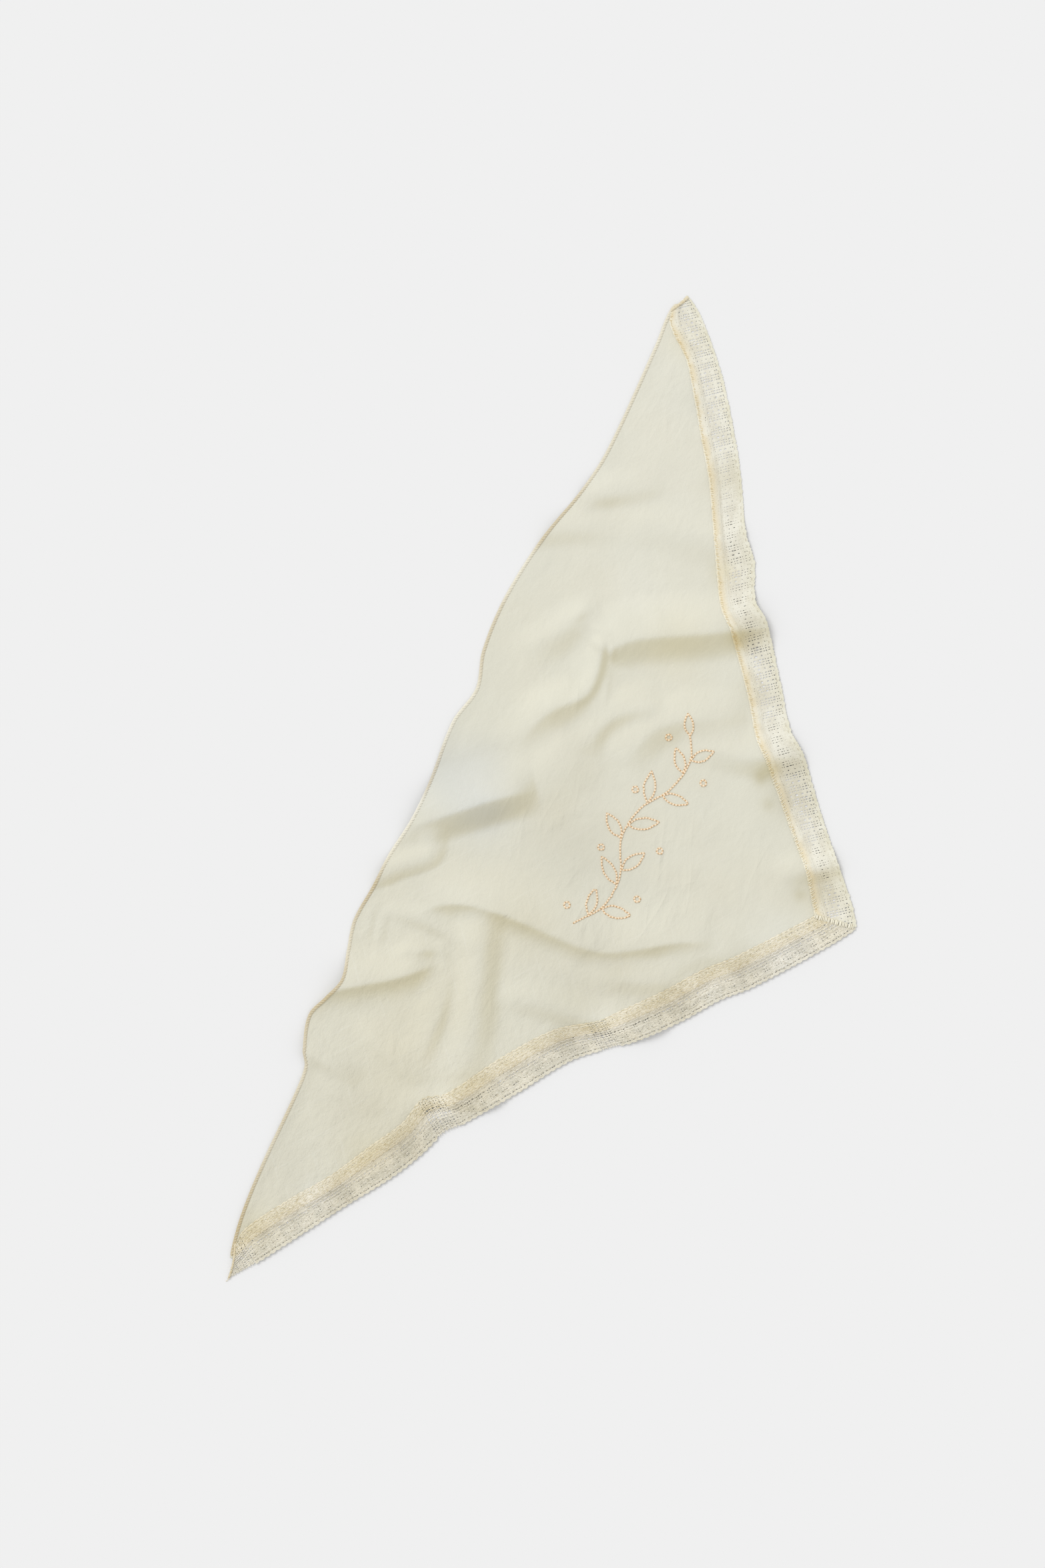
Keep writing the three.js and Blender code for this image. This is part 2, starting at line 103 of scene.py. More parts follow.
# One row for each fold that stands up from the surface; at is only its name. The crest is a short chain of
# (x, y, height). Going along it, the cloth falls steeply to the right and gently to the left, over the two
# widths given. shape says how it falls to the right: 1 is pinched, steepest at the crest, and -1 bulges,
# steepest at the foot.
Fold = namedtuple("Fold", "at steep gentle shape crest")
FOLDS = [
    Fold("long edge, left end", 11, 24, 0.4, [(184, 34, 4.5), (178, 10, 5.5), (176, -8, 4),
          (172, -28, 0)]),
    Fold("before it", 16, 18, 0, [(170, 6, 0), (166, -12, 1.8), (164, -34, 2), (160, -54, 0)]),
    Fold("second wave", 26, 30, 1, [(207, 36, 3), (223, 26, 5.5), (234, 13, 7.5), (245.5, -3, 8),
          (257, -19, 8), (269, -32, 7), (280, -42, 0)]),
    Fold("small crescent", 8, 8, 0.4, [(272, -8, 0), (280, -18, 2), (285, -29, 2.6), (286, -40, 0)]),
    Fold("beside the crescent", 7, 7, 0, [(284, -2, 0), (289, -18, 1), (291, -38, 1.2), (287, -56, 0)]),
    Fold("pinch", 10, 13, 0, [(301, 12, 0), (305, -8, 2.5), (306, -32, 3.5), (302, -52, 2),
          (296, -64, 0)]),
    Fold("ripple above", 5, 8, 0, [(272, 14, 0), (283, 15, 1), (296, 18, 1), (306, 16, 0)]),
    Fold("ripple below", 7, 5, 0, [(262, 1, 0), (276, 4, 0.8), (290, 8, 1), (304, 12, 0)]),
    Fold("third wave", 11, 14, -0.6, [(317, 34, 2.5), (325, 24, 3.5), (336, 14, 4), (345, 4, 4),
          (353, -3, 3.5), (364, -1, 2), (372, 3, 0)]),
    Fold("largest fold", 21, 38, 0.3, [(359, 30, 1.5), (366, 18.5, 4.5), (375.5, 8, 8.5),
          (386, -3.5, 12), (398, -16.5, 13.8), (409, -28.5, 13.8), (419.5, -41.5, 9.5), (430, -55.5, 0)]),
    Fold("its broad foot", 44, 30, 0, [(398, -36, 0), (430, -50, 4), (464, -62, 4), (492, -80, 0)]),
    Fold("long ridge", 15, 40, 0.7, [(305, -14, 0), (316, -20, 3.5), (325, -32, 6), (331, -48, 8.5),
          (334, -66, 9.8), (335.5, -88, 9.8), (336, -112, 8.8), (337, -134, 7), (342, -154, 5.5),
          (351, -170, 5.5), (360, -183, 6), (368, -194, 6), (375, -206, 4.5), (382, -224, 0)]),
    Fold("left middle, upper", 12, 22, 0, [(203, -62, 0), (222, -60, 2.2), (246, -59, 2.7),
          (268, -55, 2.6), (286, -46, 1.5), (298, -36, 0)]),
    Fold("left middle, lower", 22, 22, 0, [(212, -100, 0), (236, -92, 3.8), (262, -83, 6), (290, -72, 7),
          (314, -62, 6), (332, -53, 0)]),
    Fold("left middle, upright", 12, 22, 0.5, [(216, -6, 0), (208, -22, 3), (202, -40, 4),
          (196, -58, 3.5), (188, -80, 0)]),
    Fold("over the left lace, far", 10, 16, 0, [(164, -58, 0), (176, -70, 1.5), (188, -86, 3),
          (196, -104, 3), (203, -126, 2)]),
    Fold("over the left lace, near", 16, 18, 0, [(280, -92, 0), (285, -112, 3.5), (289, -138, 4.5),
          (293, -162, 5), (298, -186, 4), (304, -212, 3)]),
    Fold("beside the left lace", 14, 22, 0.3, [(318, -150, 0), (325, -166, 2.8), (331, -182, 3.6),
          (338, -200, 2.6), (346, -216, 0)]),
    Fold("towards the point", 16, 30, 0, [(352, -196, 0), (364, -210, 2.5), (376, -228, 3),
          (388, -250, 0)]),
    Fold("winding fold", 20, 26, 0.4, [(444, -27, 0), (462, -30, 3.6), (478, -35, 6), (491, -42, 8),
          (501, -52, 7.2), (511, -60, 4.2), (522, -60.5, 3), (535, -58, 3), (547, -56, 3), (557, -54, 0)]),
    Fold("above its end", 22, 20, 0.2, [(514, 2, 0), (530, -10, 2.8), (544, -20, 4.2), (557, -28, 4.5),
          (567, -35, 3), (575, -42, 0)]),
    Fold("straight ridge", 23, 36, 0.45, [(541, -60, 0), (550, -63, 6.5), (560, -71, 9.8),
          (570, -86, 11), (579, -102, 11), (590, -122, 11), (600, -138, 9), (610, -154, 6),
          (620, -172, 4)]),
    Fold("nick beside it", 4, 7, 0.5, [(556, -40, 0), (557.5, -46, 1.6), (557, -53, 1.6), (553, -60, 0)]),
    Fold("rim of the winding fold", 6.5, 12, 0.2, [(499, -51, 0), (508, -57.5, 1.6), (518, -59.5, 2.3),
          (530, -59, 2.3), (542, -56, 2.4), (552, -51, 2), (556, -46, 0)]),
    Fold("lip below the nick", 3, 3, 0, [(540, -65.5, 0), (548, -62.5, 1.2), (557, -58, 0)]),
    Fold("lip below the rim", 4, 4, 0, [(507, -74, 0), (518, -71.5, 0.9), (529, -68.5, 0)]),
    Fold("tail above the nick", 4, 8, 0.2, [(555, -24.5, 0), (563, -28.5, 1.2), (572, -34.5, 0)]),
    Fold("right middle, upper", 13, 22, 0, [(470, -80, 0), (486, -77, 3), (500, -81, 4), (512, -90, 4.5),
          (522, -102, 3.5), (530, -114, 0)]),
    Fold("right middle, lower", 20, 28, 0.3, [(472, -108, 0), (492, -110, 3.5), (509, -117, 5),
          (521, -129, 5.3), (530, -144, 5.2), (538, -160, 3.5), (545, -176, 0)]),
    Fold("over the right lace", 18, 28, 0.2, [(512, -136, 0), (514, -160, 3.5), (517, -182, 5.5),
          (523, -198, 6.5), (531, -212, 4.5), (540, -228, 1.5)]),
    Fold("over the lace near the point", 15, 18, 0, [(448, -244, 0), (459, -258, 3.5), (468, -271, 4.5),
          (476, -283, 3), (486, -296, 1)]),
    Fold("over the right lace, far", 24, 20, 0, [(640, -20, 0), (648, -50, 3), (654, -92, 3),
          (662, -108, 2.2), (672, -126, 1.2)]),
    Fold("long edge, right", 16, 20, 0, [(598, 38, 3), (614, 14, 3), (624, -6, 2.5), (632, -30, 0)]),
    Fold("right end", 14, 22, 0, [(636, 12, 0), (650, -3, 3.5), (658, -16, 3.6), (668, -32, 2),
          (684, -42, 0)]),
]

# ---- Curves ----


def column(table, name):
    """A smooth curve through one column of a table, as a function of the distance along."""
    along, value = table["along"], table[name]
    before = np.r_[0, np.arange(len(along) - 1)]
    after = np.r_[np.arange(1, len(along)), len(along) - 1]
    slope = (value[after] - value[before]) / (along[after] - along[before])

    def curve(at):
        i = np.clip(np.searchsorted(along, at, side="left") - 1, 0, len(along) - 2)
        step = along[i + 1] - along[i]
        t = np.clip((at - along[i]) / step, 0, 1)
        bend = t * (1 - t) * step
        ease = t * t * (3 - 2 * t)
        return value[i] + (value[i + 1] - value[i]) * ease + bend * (slope[i] * (1 - t) - slope[i + 1] * t)

    return curve


def through(points, steps):
    """A centripetal Catmull-Rom curve through points, in so many straight pieces for each stretch."""
    p = np.array(points, float)
    p = np.vstack([2 * p[0] - p[1], p, 2 * p[-1] - p[-2]])
    line = []
    for i in range(1, len(p) - 2):
        a, b, c, d = p[i - 1:i + 3]
        before, here, after = (math.sqrt(np.linalg.norm(e)) for e in (b - a, c - b, d - c))
        start = ((b - a) / before - (c - a) / (before + here) + (c - b) / here) * here
        end = ((c - b) / here - (d - b) / (here + after) + (d - c) / after) * here
        for t in np.arange(steps) / steps:
            square, cube = t * t, t * t * t
            line.append(b * (2 * cube - 3 * square + 1) + start * (cube - 2 * square + t)
                        + c * (3 * square - 2 * cube) + end * (cube - square))
    line.append(p[-2])
    return np.array(line)


def run_along(line):
    """How far along the line each of its points lies."""
    return np.r_[0, np.cumsum(np.linalg.norm(np.diff(line, axis=0), axis=1))]


def evenly(line, pitch):
    """The same line with its points a fixed distance apart."""
    run = run_along(line)
    at = np.linspace(0, run[-1], max(2, round(run[-1] / pitch) + 1))
    return np.stack([np.interp(at, run, line[:, k]) for k in range(line.shape[1])], axis=1)


def smoothstep(t):
    t = np.clip(t, 0, 1)
    return t * t * (3 - 2 * t)


def blurred(grid, sigma_x, sigma_y):
    """The grid smoothed by a Gaussian of these widths, in cells."""
    for axis, sigma in ((0, sigma_x), (1, sigma_y)):
        reach = int(3 * sigma) + 1
        kernel = np.exp(-0.5 * (np.arange(-reach, reach + 1) / sigma) ** 2)
        kernel /= kernel.sum()
        pad = [(reach, reach) if k == axis else (0, 0) for k in (0, 1)]
        wide = np.pad(grid, pad, mode="edge")
        grid = np.apply_along_axis(np.convolve, axis, wide, kernel, "valid")
    return grid


def spaced(start, end, pitch, rng, stray=0.2):
    """Distances a pitch apart, each a little out of its place, as stitches are when sewn by hand."""
    at = np.arange(start, end, pitch)
    return at + stray * rng.standard_normal(len(at))


def sideways(run):
    """Level vectors of length 1, square to each of these and to their left."""
    across = np.column_stack([-run[:, 1], run[:, 0], np.zeros(len(run))])
    return across / np.linalg.norm(across, axis=1)[:, None]


long_edge_rise = column(LONG_EDGE, "rise")

# ---- Height of the folds ----

GRID_FROM = np.array([-14.0, -336.0])  # the relief is worked out on a grid of 1 mm over this rectangle
GRID_TO = np.array([830.0, 50.0])
CREST_STEPS = 12  # straight pieces that a crest is followed by, for each stretch of its chain
CREST_SWING = 6  # the most that a crest swings out beyond the points of its chain
CREST_SOFTNESS = 1.0  # how far the sharp top of a fold is rounded off
WAVE_HEIGHT = 0.3  # of the slight unevenness all over the cloth
WAVE_LENGTH = 13.0  # over which it is smoothed
HEM_REACH = 10.0  # how far in from the hem the cloth rises to it


def fold_height(fold, x, y):
    """How high one fold stands at each place: the height of its crest, less how far the cloth falls."""
    line = through(fold.crest, CREST_STEPS)
    distance = np.full(x.shape, np.inf)
    height = np.zeros(x.shape)
    right = np.zeros(x.shape, bool)
    for start, end in zip(line[:-1], line[1:]):
        run = end - start
        off_x, off_y = x - start[0], y - start[1]
        t = np.clip((off_x * run[0] + off_y * run[1]) / (run[0] ** 2 + run[1] ** 2), 0, 1)
        away = np.hypot(off_x - t * run[0], off_y - t * run[1])
        nearer = away < distance
        distance = np.where(nearer, away, distance)
        height = np.where(nearer, start[2] + t * run[2], height)
        right = np.where(nearer, off_x * run[1] - off_y * run[0] > 0, right)
    t = np.minimum(distance / np.where(right, fold.steep, fold.gentle), 1)
    even = (1 + np.cos(np.pi * t)) / 2
    bent = (1 - t) ** 3 if fold.shape > 0 else 1 - t ** 3
    return height * (even + abs(fold.shape) * np.where(right, bent - even, 0))


def relief_grid():
    """The height of all the folds together."""
    x, y = np.meshgrid(*(np.arange(a, b + 1) for a, b in zip(GRID_FROM, GRID_TO)), indexing="ij")
    grid = np.zeros(x.shape)
    for fold in FOLDS:
        places = np.array(fold.crest)[:, :2]
        reach = max(fold.steep, fold.gentle) + CREST_SWING
        low = np.maximum(places.min(0) - reach, GRID_FROM) - GRID_FROM
        high = np.minimum(places.max(0) + reach, GRID_TO) - GRID_FROM
        part = tuple(slice(int(a), int(b) + 1) for a, b in zip(low, high))
        grid[part] += fold_height(fold, x[part], y[part])
    return blurred(grid, CREST_SOFTNESS, CREST_SOFTNESS)


def wave_grid(shape):
    """The slight unevenness of the cloth, and how it rises to the stiff hem."""
    noise = blurred(np.random.default_rng(3).standard_normal(shape), WAVE_LENGTH, WAVE_LENGTH)
    x, y = (GRID_FROM[k] + np.arange(shape[k]) for k in (0, 1))
    from_hem = long_edge_rise(x)[:, None] - y
    hem_lift = column(LONG_EDGE, "lift")(x)[:, None] * smoothstep(1 - from_hem / HEM_REACH)
    return WAVE_HEIGHT * (1 + np.clip(noise / noise.std() / 2, -1, 1)) + hem_lift


def sampled(grid):
    """The grid's height at any place, as a function."""

    def height(x, y):
        at_x = np.clip(x - GRID_FROM[0], 0, grid.shape[0] - 1.001)
        at_y = np.clip(y - GRID_FROM[1], 0, grid.shape[1] - 1.001)
        i, j = at_x.astype(int), at_y.astype(int)
        u, v = at_x - i, at_y - j
        low = grid[i, j] * (1 - u) + grid[i + 1, j] * u
        high = grid[i, j + 1] * (1 - u) + grid[i + 1, j + 1] * u
        return low * (1 - v) + high * v

    return height


folds_grid = relief_grid()
relief = sampled(folds_grid)  # how high the folds stand above the surface
waves = sampled(wave_grid(folds_grid.shape))  # and the slight unevenness of the cloth on top of that


# ---- Short sides ----


class ShortSide:
    """A short side of the kerchief. Distances along it run from the tip of the long edge to the point, in a
    straight line; distances across run inwards from that line."""

    def __init__(self, tip, strip, cover, scallop, picot, uneven, tip_lean, point_lean):
        self.tip = tip
        self.length = np.linalg.norm(POINT - tip)
        self.ahead = (POINT - tip) / self.length
        self.inward = np.array([-self.ahead[1], self.ahead[0]])
        self.mirrored = self.inward[1] < 0
        if self.mirrored:
            self.inward = -self.inward
        self.bow = column(strip, "bow")
        self.width = column(strip, "width")
        self.lift = column(strip, "lift")
        self.cover = cover
        self.scallop = scallop
        self.picot = picot
        self.uneven = uneven
        self.tip_lean = tip_lean
        self.point_lean = point_lean

    def place(self, along, across):
        return self.tip + np.multiply.outer(along, self.ahead) + np.multiply.outer(across, self.inward)

    def on_strip(self, along, share):
        """The place at a share of the strip's width, from its outer edge to its inner edge."""
        return self.place(along, self.bow(along) + share * self.width(along))

    def covered(self, along):
        """The share of the strip that lies over the cloth."""
        to_point = np.maximum(0, 1 - (self.length - along) / LEAN_REACH)
        plain = self.cover / self.width(along)
        return plain + (SEAM_COVER - plain) * to_point

    def cloth_edge(self, share):
        """The edge of the cloth below the lace, at a share of the way from the tip to the point."""
        outer_along = share * self.length
        to_tip = np.maximum(0, 1 - outer_along / LEAN_REACH)
        to_point = np.maximum(0, 1 - (self.length - outer_along) / LEAN_REACH)
        inner_along = outer_along + self.tip_lean * to_tip + self.point_lean * to_point
        covered = self.covered(inner_along)[:, None]
        return self.on_strip(inner_along, 1.0) * (1 - covered) + self.on_strip(outer_along, 0.0) * covered


# cover is how far the lace lies over the cloth. scallop and picot are how far the scallops and the little
# loops of its edges stand out, and uneven is how much its holes differ in size. tip_lean and point_lean are
# how far along the inner end of each cut lies from the outer one.
left_side = ShortSide(LEFT_TIP, LEFT_STRIP, cover=9.0, scallop=1.2, picot=0.0, uneven=0.15,
                      tip_lean=16.8, point_lean=-22.8)
right_side = ShortSide(RIGHT_TIP, RIGHT_STRIP, cover=5.5, scallop=0.4, picot=0.9, uneven=0.28,
                       tip_lean=6.5, point_lean=-16.8)

# ---- Patches ----

# Faint patches where the cotton has aged, been stretched or creased, and patches of painted shade where the
# folds turn from the light: middle, reach, how much lighter and warmer it is, and how creased.
PATCHES = rows(
    "x y reach light warmth creased",
    # painted bluish shade of the deep fold at the middle of the long edge
    (410, 8, 28, -0.1, -0.7, 0), (432, -14, 18, -0.06, -0.35, 0), (398, -26, 24, -0.02, -0.6, 0.3),
    (398, -33, 14, -0.045, -0.1, 0),
    # the creased middle and the smoother ends
    (310, -150, 40, -0.03, 0, 0.5), (400, -110, 60, -0.025, 0, 0.6), (390, -190, 60, 0, 0, 0.7),
    (200, -60, 60, 0, 0.1, 0.3), (500, -40, 50, 0, 0, 0.4), (730, -8, 50, 0.01, 0, 0.4),
    # painted shade, darker and warmer, in and beside the folds
    (250, -50, 45, -0.01, 0.2, 0.2), (190, -50, 26, -0.015, 0.2, 0), (322, -68, 12, -0.02, 0.2, 0),
    (573, -62, 12, -0.04, 0, 0), (575, -105, 24, 0, 0.4, 0), (335, -90, 22, 0, 0.3, 0),
    (334, -166, 12, -0.05, 0.2, 0), (482, -57, 8, -0.05, 0, 0), (100, -8, 25, -0.03, 0, 0),
    (160, -30, 20, -0.035, 0.1, 0), (300, -150, 25, -0.045, 0.2, 0), (400, -100, 30, -0.045, 0.1, 0),
    (330, 0, 14, -0.05, 0, 0), (440, -260, 14, -0.04, 0, 0),
    # paler spots
    (220, -80, 20, 0.035, -0.2, 0), (600, -60, 20, 0.035, -0.2, 0), (400, -275, 26, 0.03, -0.35, 0),
    # the left lace: its white tip, golden heading, painted shade where its body is crumpled,
    # and the places stretched into a white net
    (22, -3, 8, 0.14, -0.3, 0), (40, 0, 18, -0.03, 0.6, 0), (92, -56, 14, -0.09, 0.3, 0),
    (84, -31, 9, 0.05, -0.6, 0), (128, -56, 20, -0.02, 0.6, 0), (148, -81, 17, -0.13, 0.4, 0),
    (184, -91, 9, 0.15, -0.6, 0), (210, -107, 14, -0.06, 0.6, 0), (236, -130, 14, 0.05, 0, 0),
    (270, -152, 11, -0.09, 0.1, 0), (292, -179, 15, 0.12, -0.4, 0), (328, -216, 18, -0.08, 0.35, 0),
    (347, -237, 9, 0.09, -0.3, 0), (376, -256, 13, -0.07, 0.15, 0), (395, -272, 10, 0.08, -0.2, 0),
    (427, -296, 10, 0.1, 0.3, 0),
    # the right lace: painted brown shade where the folds cross it
    (755, -55, 18, 0.04, 0, 0), (782, -14, 13, -0.01, 0.4, 0), (745, -45, 12, -0.08, 0, 0),
    (702, -84, 12, -0.09, 0.5, 0), (638, -114, 9, -0.05, 0.9, 0), (610, -153, 12, -0.16, 0.5, 0),
    (598, -144, 9, -0.13, 1.0, 0), (568, -173, 12, -0.07, 0.4, 0), (517, -207, 8, -0.08, 0.8, 0),
    (509, -203, 5, -0.12, 0.8, 0), (494, -217, 5, -0.06, 0.5, 0), (443, -267, 5, -0.08, 0.6, 0),
    (532, -222, 10, -0.12, 0.2, 0), (510, -231, 18, -0.15, 0.5, 0), (453, -282, 14, -0.15, 0.8, 0),
)
CREASED_ALL_OVER = 0.25
TURNED_STEP = 2.0  # the slope of the folds is taken over twice this distance
TURNED_SLOPE = 0.6  # a slope that faces fully away from the light


def turned(points):
    """How far the folds there face away from the light, from 0 to 1: it paints a warm shade into their
    colour.
    """
    x, y = points[:, 0], points[:, 1]
    light = np.array(KEY_FROM[:2]) / np.hypot(*KEY_FROM[:2]) * TURNED_STEP
    slope = (relief(x + light[0], y + light[1]) - relief(x - light[0], y - light[1])) / (2 * TURNED_STEP)
    return smoothstep(slope / TURNED_SLOPE)


def spread(table, name, points):
    """One column of a table of round patches, added up over the points."""
    total = np.zeros(len(points))
    for x, y, reach, value in zip(table["x"], table["y"], table["reach"], table[name]):
        total += value * np.exp(-((points[:, 0] - x) ** 2 + (points[:, 1] - y) ** 2) / reach ** 2)
    return total


# ---- Meshes ----

SHARP_ANGLE = math.radians(75)  # edges that are sharper than this aren't shaded smooth


def new_piece(name, points, faces, slot, material, uv=None, brown=0.0):
    """A mesh from points in the measuring frame, in millimetres."""
    points = np.asarray(points, float)
    placed = (points - [*ORIGIN, 0]) / 1000
    mesh = bpy.data.meshes.new(name)
    mesh.from_pydata(placed.tolist(), [], np.asarray(faces).tolist())
    mesh.shade_smooth()
    mesh.set_sharp_from_angle(angle=SHARP_ANGLE)
    # The first tone paints a warm shade on the sides of the folds that face away from the light, on top of
    # the patches' warmer tone; the second carries the patches' painted shade and paler spots.
    tones = {
        "warmth": turned(points) + spread(PATCHES, "warmth", points),
        "light": 1 + spread(PATCHES, "light", points),
        "creased": CREASED_ALL_OVER + spread(PATCHES, "creased", points),
        "brown": np.full(len(points), brown),
    }
    for tone, values in tones.items():
        mesh.attributes.new(tone, "FLOAT", "POINT").data.foreach_set("value", values)
    if uv is not None:
        corners = np.empty(len(mesh.loops), int)
        mesh.loops.foreach_get("vertex_index", corners)
        layer = mesh.uv_layers.new(name="flat")
        layer.data.foreach_set("uv", (np.asarray(uv)[corners] / 1000).ravel())
    mesh.materials.append(material)
    piece = bpy.data.objects.new(name, mesh)
    bpy.context.scene.collection.objects.link(piece)
    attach(piece, "root")
    return piece


def thin_sheet(name, places, middle, half, triangles, border, **finish):
    """A closed sheet: the same triangles above and below a middle height, joined at the border's points."""
    triangles = np.asarray(triangles)
    triangles = triangles[~border[triangles].all(axis=1)]
    inside = np.flatnonzero(~border)
    below = np.arange(len(places))
    below[inside] = len(places) + np.arange(len(inside))
    top = np.column_stack([places, middle + np.where(border, 0, half)])
    bottom = np.column_stack([places[inside], (middle - half)[inside]])
    uv = finish.pop("uv", places)
    return new_piece(
        name,
        np.vstack([top, bottom]),
        np.vstack([triangles, below[triangles][:, ::-1]]),
        uv=np.vstack([uv, uv[inside]]),
        **finish,
    )


def between_rows(upper, lower):
    """Triangles between two rows of points that needn't have the same number of points."""
    i = j = 0
    last_i, last_j = len(upper) - 1, len(lower) - 1
    triangles = []
    while i < last_i or j < last_j:
        if j == last_j or (i < last_i and (i + 1) * last_j <= (j + 1) * last_i):
            triangles.append((upper[i], lower[j], upper[i + 1]))
            i += 1
        else:
            triangles.append((upper[i], lower[j], lower[j + 1]))
            j += 1
    return triangles


def tube(line, radii, sides):
    """The points, triangles and flat places of a closed tube along a line. radii are across and up."""
    run = run_along(line)
    across = sideways(np.gradient(line, axis=0))
    angle = np.arange(sides) * 2 * np.pi / sides
    taper = np.sqrt(np.clip(np.minimum(run, run[-1] - run) / radii[0], 0.05, 1))
    size = taper[:, None] * np.ones(sides)
    points = line[:, None] + across[:, None] * (np.cos(angle) * size * radii[0])[..., None]
    points[..., 2] += np.sin(angle) * size * radii[1]
    ring = np.arange(sides)
    start = np.arange(len(line) - 1)[:, None] * sides
    after = (ring + 1) % sides
    quads = np.stack([start + ring, start + sides + ring, start + sides + after, start + after], -1)
    faces = quads.reshape(-1, 4)
    triangles = np.vstack([faces[:, [0, 2, 1]], faces[:, [0, 3, 2]]])
    count = len(line) * sides
    caps = [(count, ring[k], after[k]) for k in ring]
    caps += [(count + 1, count - sides + after[k], count - sides + ring[k]) for k in ring]
    points = np.vstack([points.reshape(-1, 3), line[0], line[-1]])
    uv = np.column_stack([np.r_[np.repeat(run, sides), 0, run[-1]], np.zeros(len(points))])
    uv[:count, 1] = np.tile(angle * radii[0], len(line))
    return points, np.vstack([triangles, caps]), uv


def ropes(name, lines, radii, sides, **finish):
    """One piece made of a tube along each line."""
    points, triangles, uv = [], [], []
    total = 0
    for line in lines:
        its_points, its_triangles, its_uv = tube(line, radii, sides)
        points.append(its_points)
        triangles.append(its_triangles + total)
        uv.append(its_uv)
        total += len(its_points)
    return new_piece(name, np.vstack(points), np.vstack(triangles), uv=np.vstack(uv), **finish)


STITCH_SIDES = 8
STITCH_RINGS = [(0.04, 0.45), (0.2, 0.85), (0.5, 1.0), (0.8, 0.85), (0.96, 0.45)]  # (share along, girth)


def stitches(name, starts, ends, width, height, bulge, brown=0.0, **finish):
    """Short plump stitches of thread, each from one point to another, raised by bulge in the middle."""
    run = ends - starts
    across = sideways(run)
    angle = np.arange(STITCH_SIDES) * 2 * np.pi / STITCH_SIDES
    points = [starts[:, None]]
    for share, girth in STITCH_RINGS:
        half_width = (np.cos(angle) * girth * width / 2)[:, None]
        ring = (starts + share * run)[:, None] + across[:, None] * half_width
        ring[..., 2] += np.sin(angle) * girth * height / 2 + bulge * 4 * share * (1 - share)
        points.append(ring)
    points.append(ends[:, None])
    points = np.concatenate(points, axis=1)
    each = points.shape[1]
    faces = []
    for k in range(STITCH_SIDES):
        after = (k + 1) % STITCH_SIDES
        faces.append((0, 1 + after, 1 + k))
        for ring in range(len(STITCH_RINGS) - 1):
            a, b = 1 + ring * STITCH_SIDES, 1 + (ring + 1) * STITCH_SIDES
            faces += [(a + k, a + after, b + after), (a + k, b + after, b + k)]
        last = 1 + (len(STITCH_RINGS) - 1) * STITCH_SIDES
        faces.append((each - 1, last + k, last + after))
    faces = np.array(faces)[None] + (np.arange(len(starts)) * each)[:, None, None]
    brown = np.repeat(np.broadcast_to(brown, len(starts)), each)
    return new_piece(name, points.reshape(-1, 3), faces.reshape(-1, 3), brown=brown, **finish)


# ---- Materials ----

# In this section lengths are in metres and turns in degrees. A colour is as it is seen, 0 to 255 a channel,
# and a noise has so many waves to a metre along and across.
WARM_TINT = (-0.025, -0.06, -0.17)  # what full warmth takes away from red, green and blue, for aged tone and for the painted warm shade of the folds
GAP_SHADE_TINT = (0.5, 0.44, 0.34, 1.0)  # and what is left of them in the painted shade between the threads
BROWN = (186, 166, 122)  # of aged thread, and on the hem also of painted shade

WEAVE_TURN = 36  # the voile is woven along its short sides
WEAVE_PITCH = 0.0005
WEAVE_DEPTH = 0.00006
SLUB_TURNS = (36, -40)
SLUB_WAVES = (22.0, 520.0)
SLUB_DEPTH = 0.00003
SLUB_COLOUR = (236, 235, 224)
SLUB_SHOWN = 0.22
CLOUD_DEPTH = 0.09  # how much the cloth's lightness varies
CRUMPLE_DEPTH = 0.0016
CREASE_DEPTH = 0.00025
CREASES = [(-20, (7.0, 42.0)), (4, (9.0, 50.0)), (52, (8.0, 24.0))]  # their turn, and their waves
WRINKLE_TURN = -20
WRINKLE_DEPTH = 0.0006

LADDER_ALONG = 0.00095  # pitch of the fine threads across the lace
LADDER_ACROSS = 0.0011  # and of those along it
LADDER_DEPTH = 0.00012
RIDGE_DEPTH = 0.0002  # of the bright threads along the lace
FUZZ_DEPTH = 0.0002
FIBRE_DEPTH = 0.0001  # of the fibres of the sewing threads


def linear(*srgb):
    """A colour as it is seen, 0 to 255 a channel, for a shader's socket."""
    share = np.array(srgb) / 255
    return (*np.where(share <= 0.04045, share / 12.92, ((share + 0.055) / 1.055) ** 2.4), 1.0)


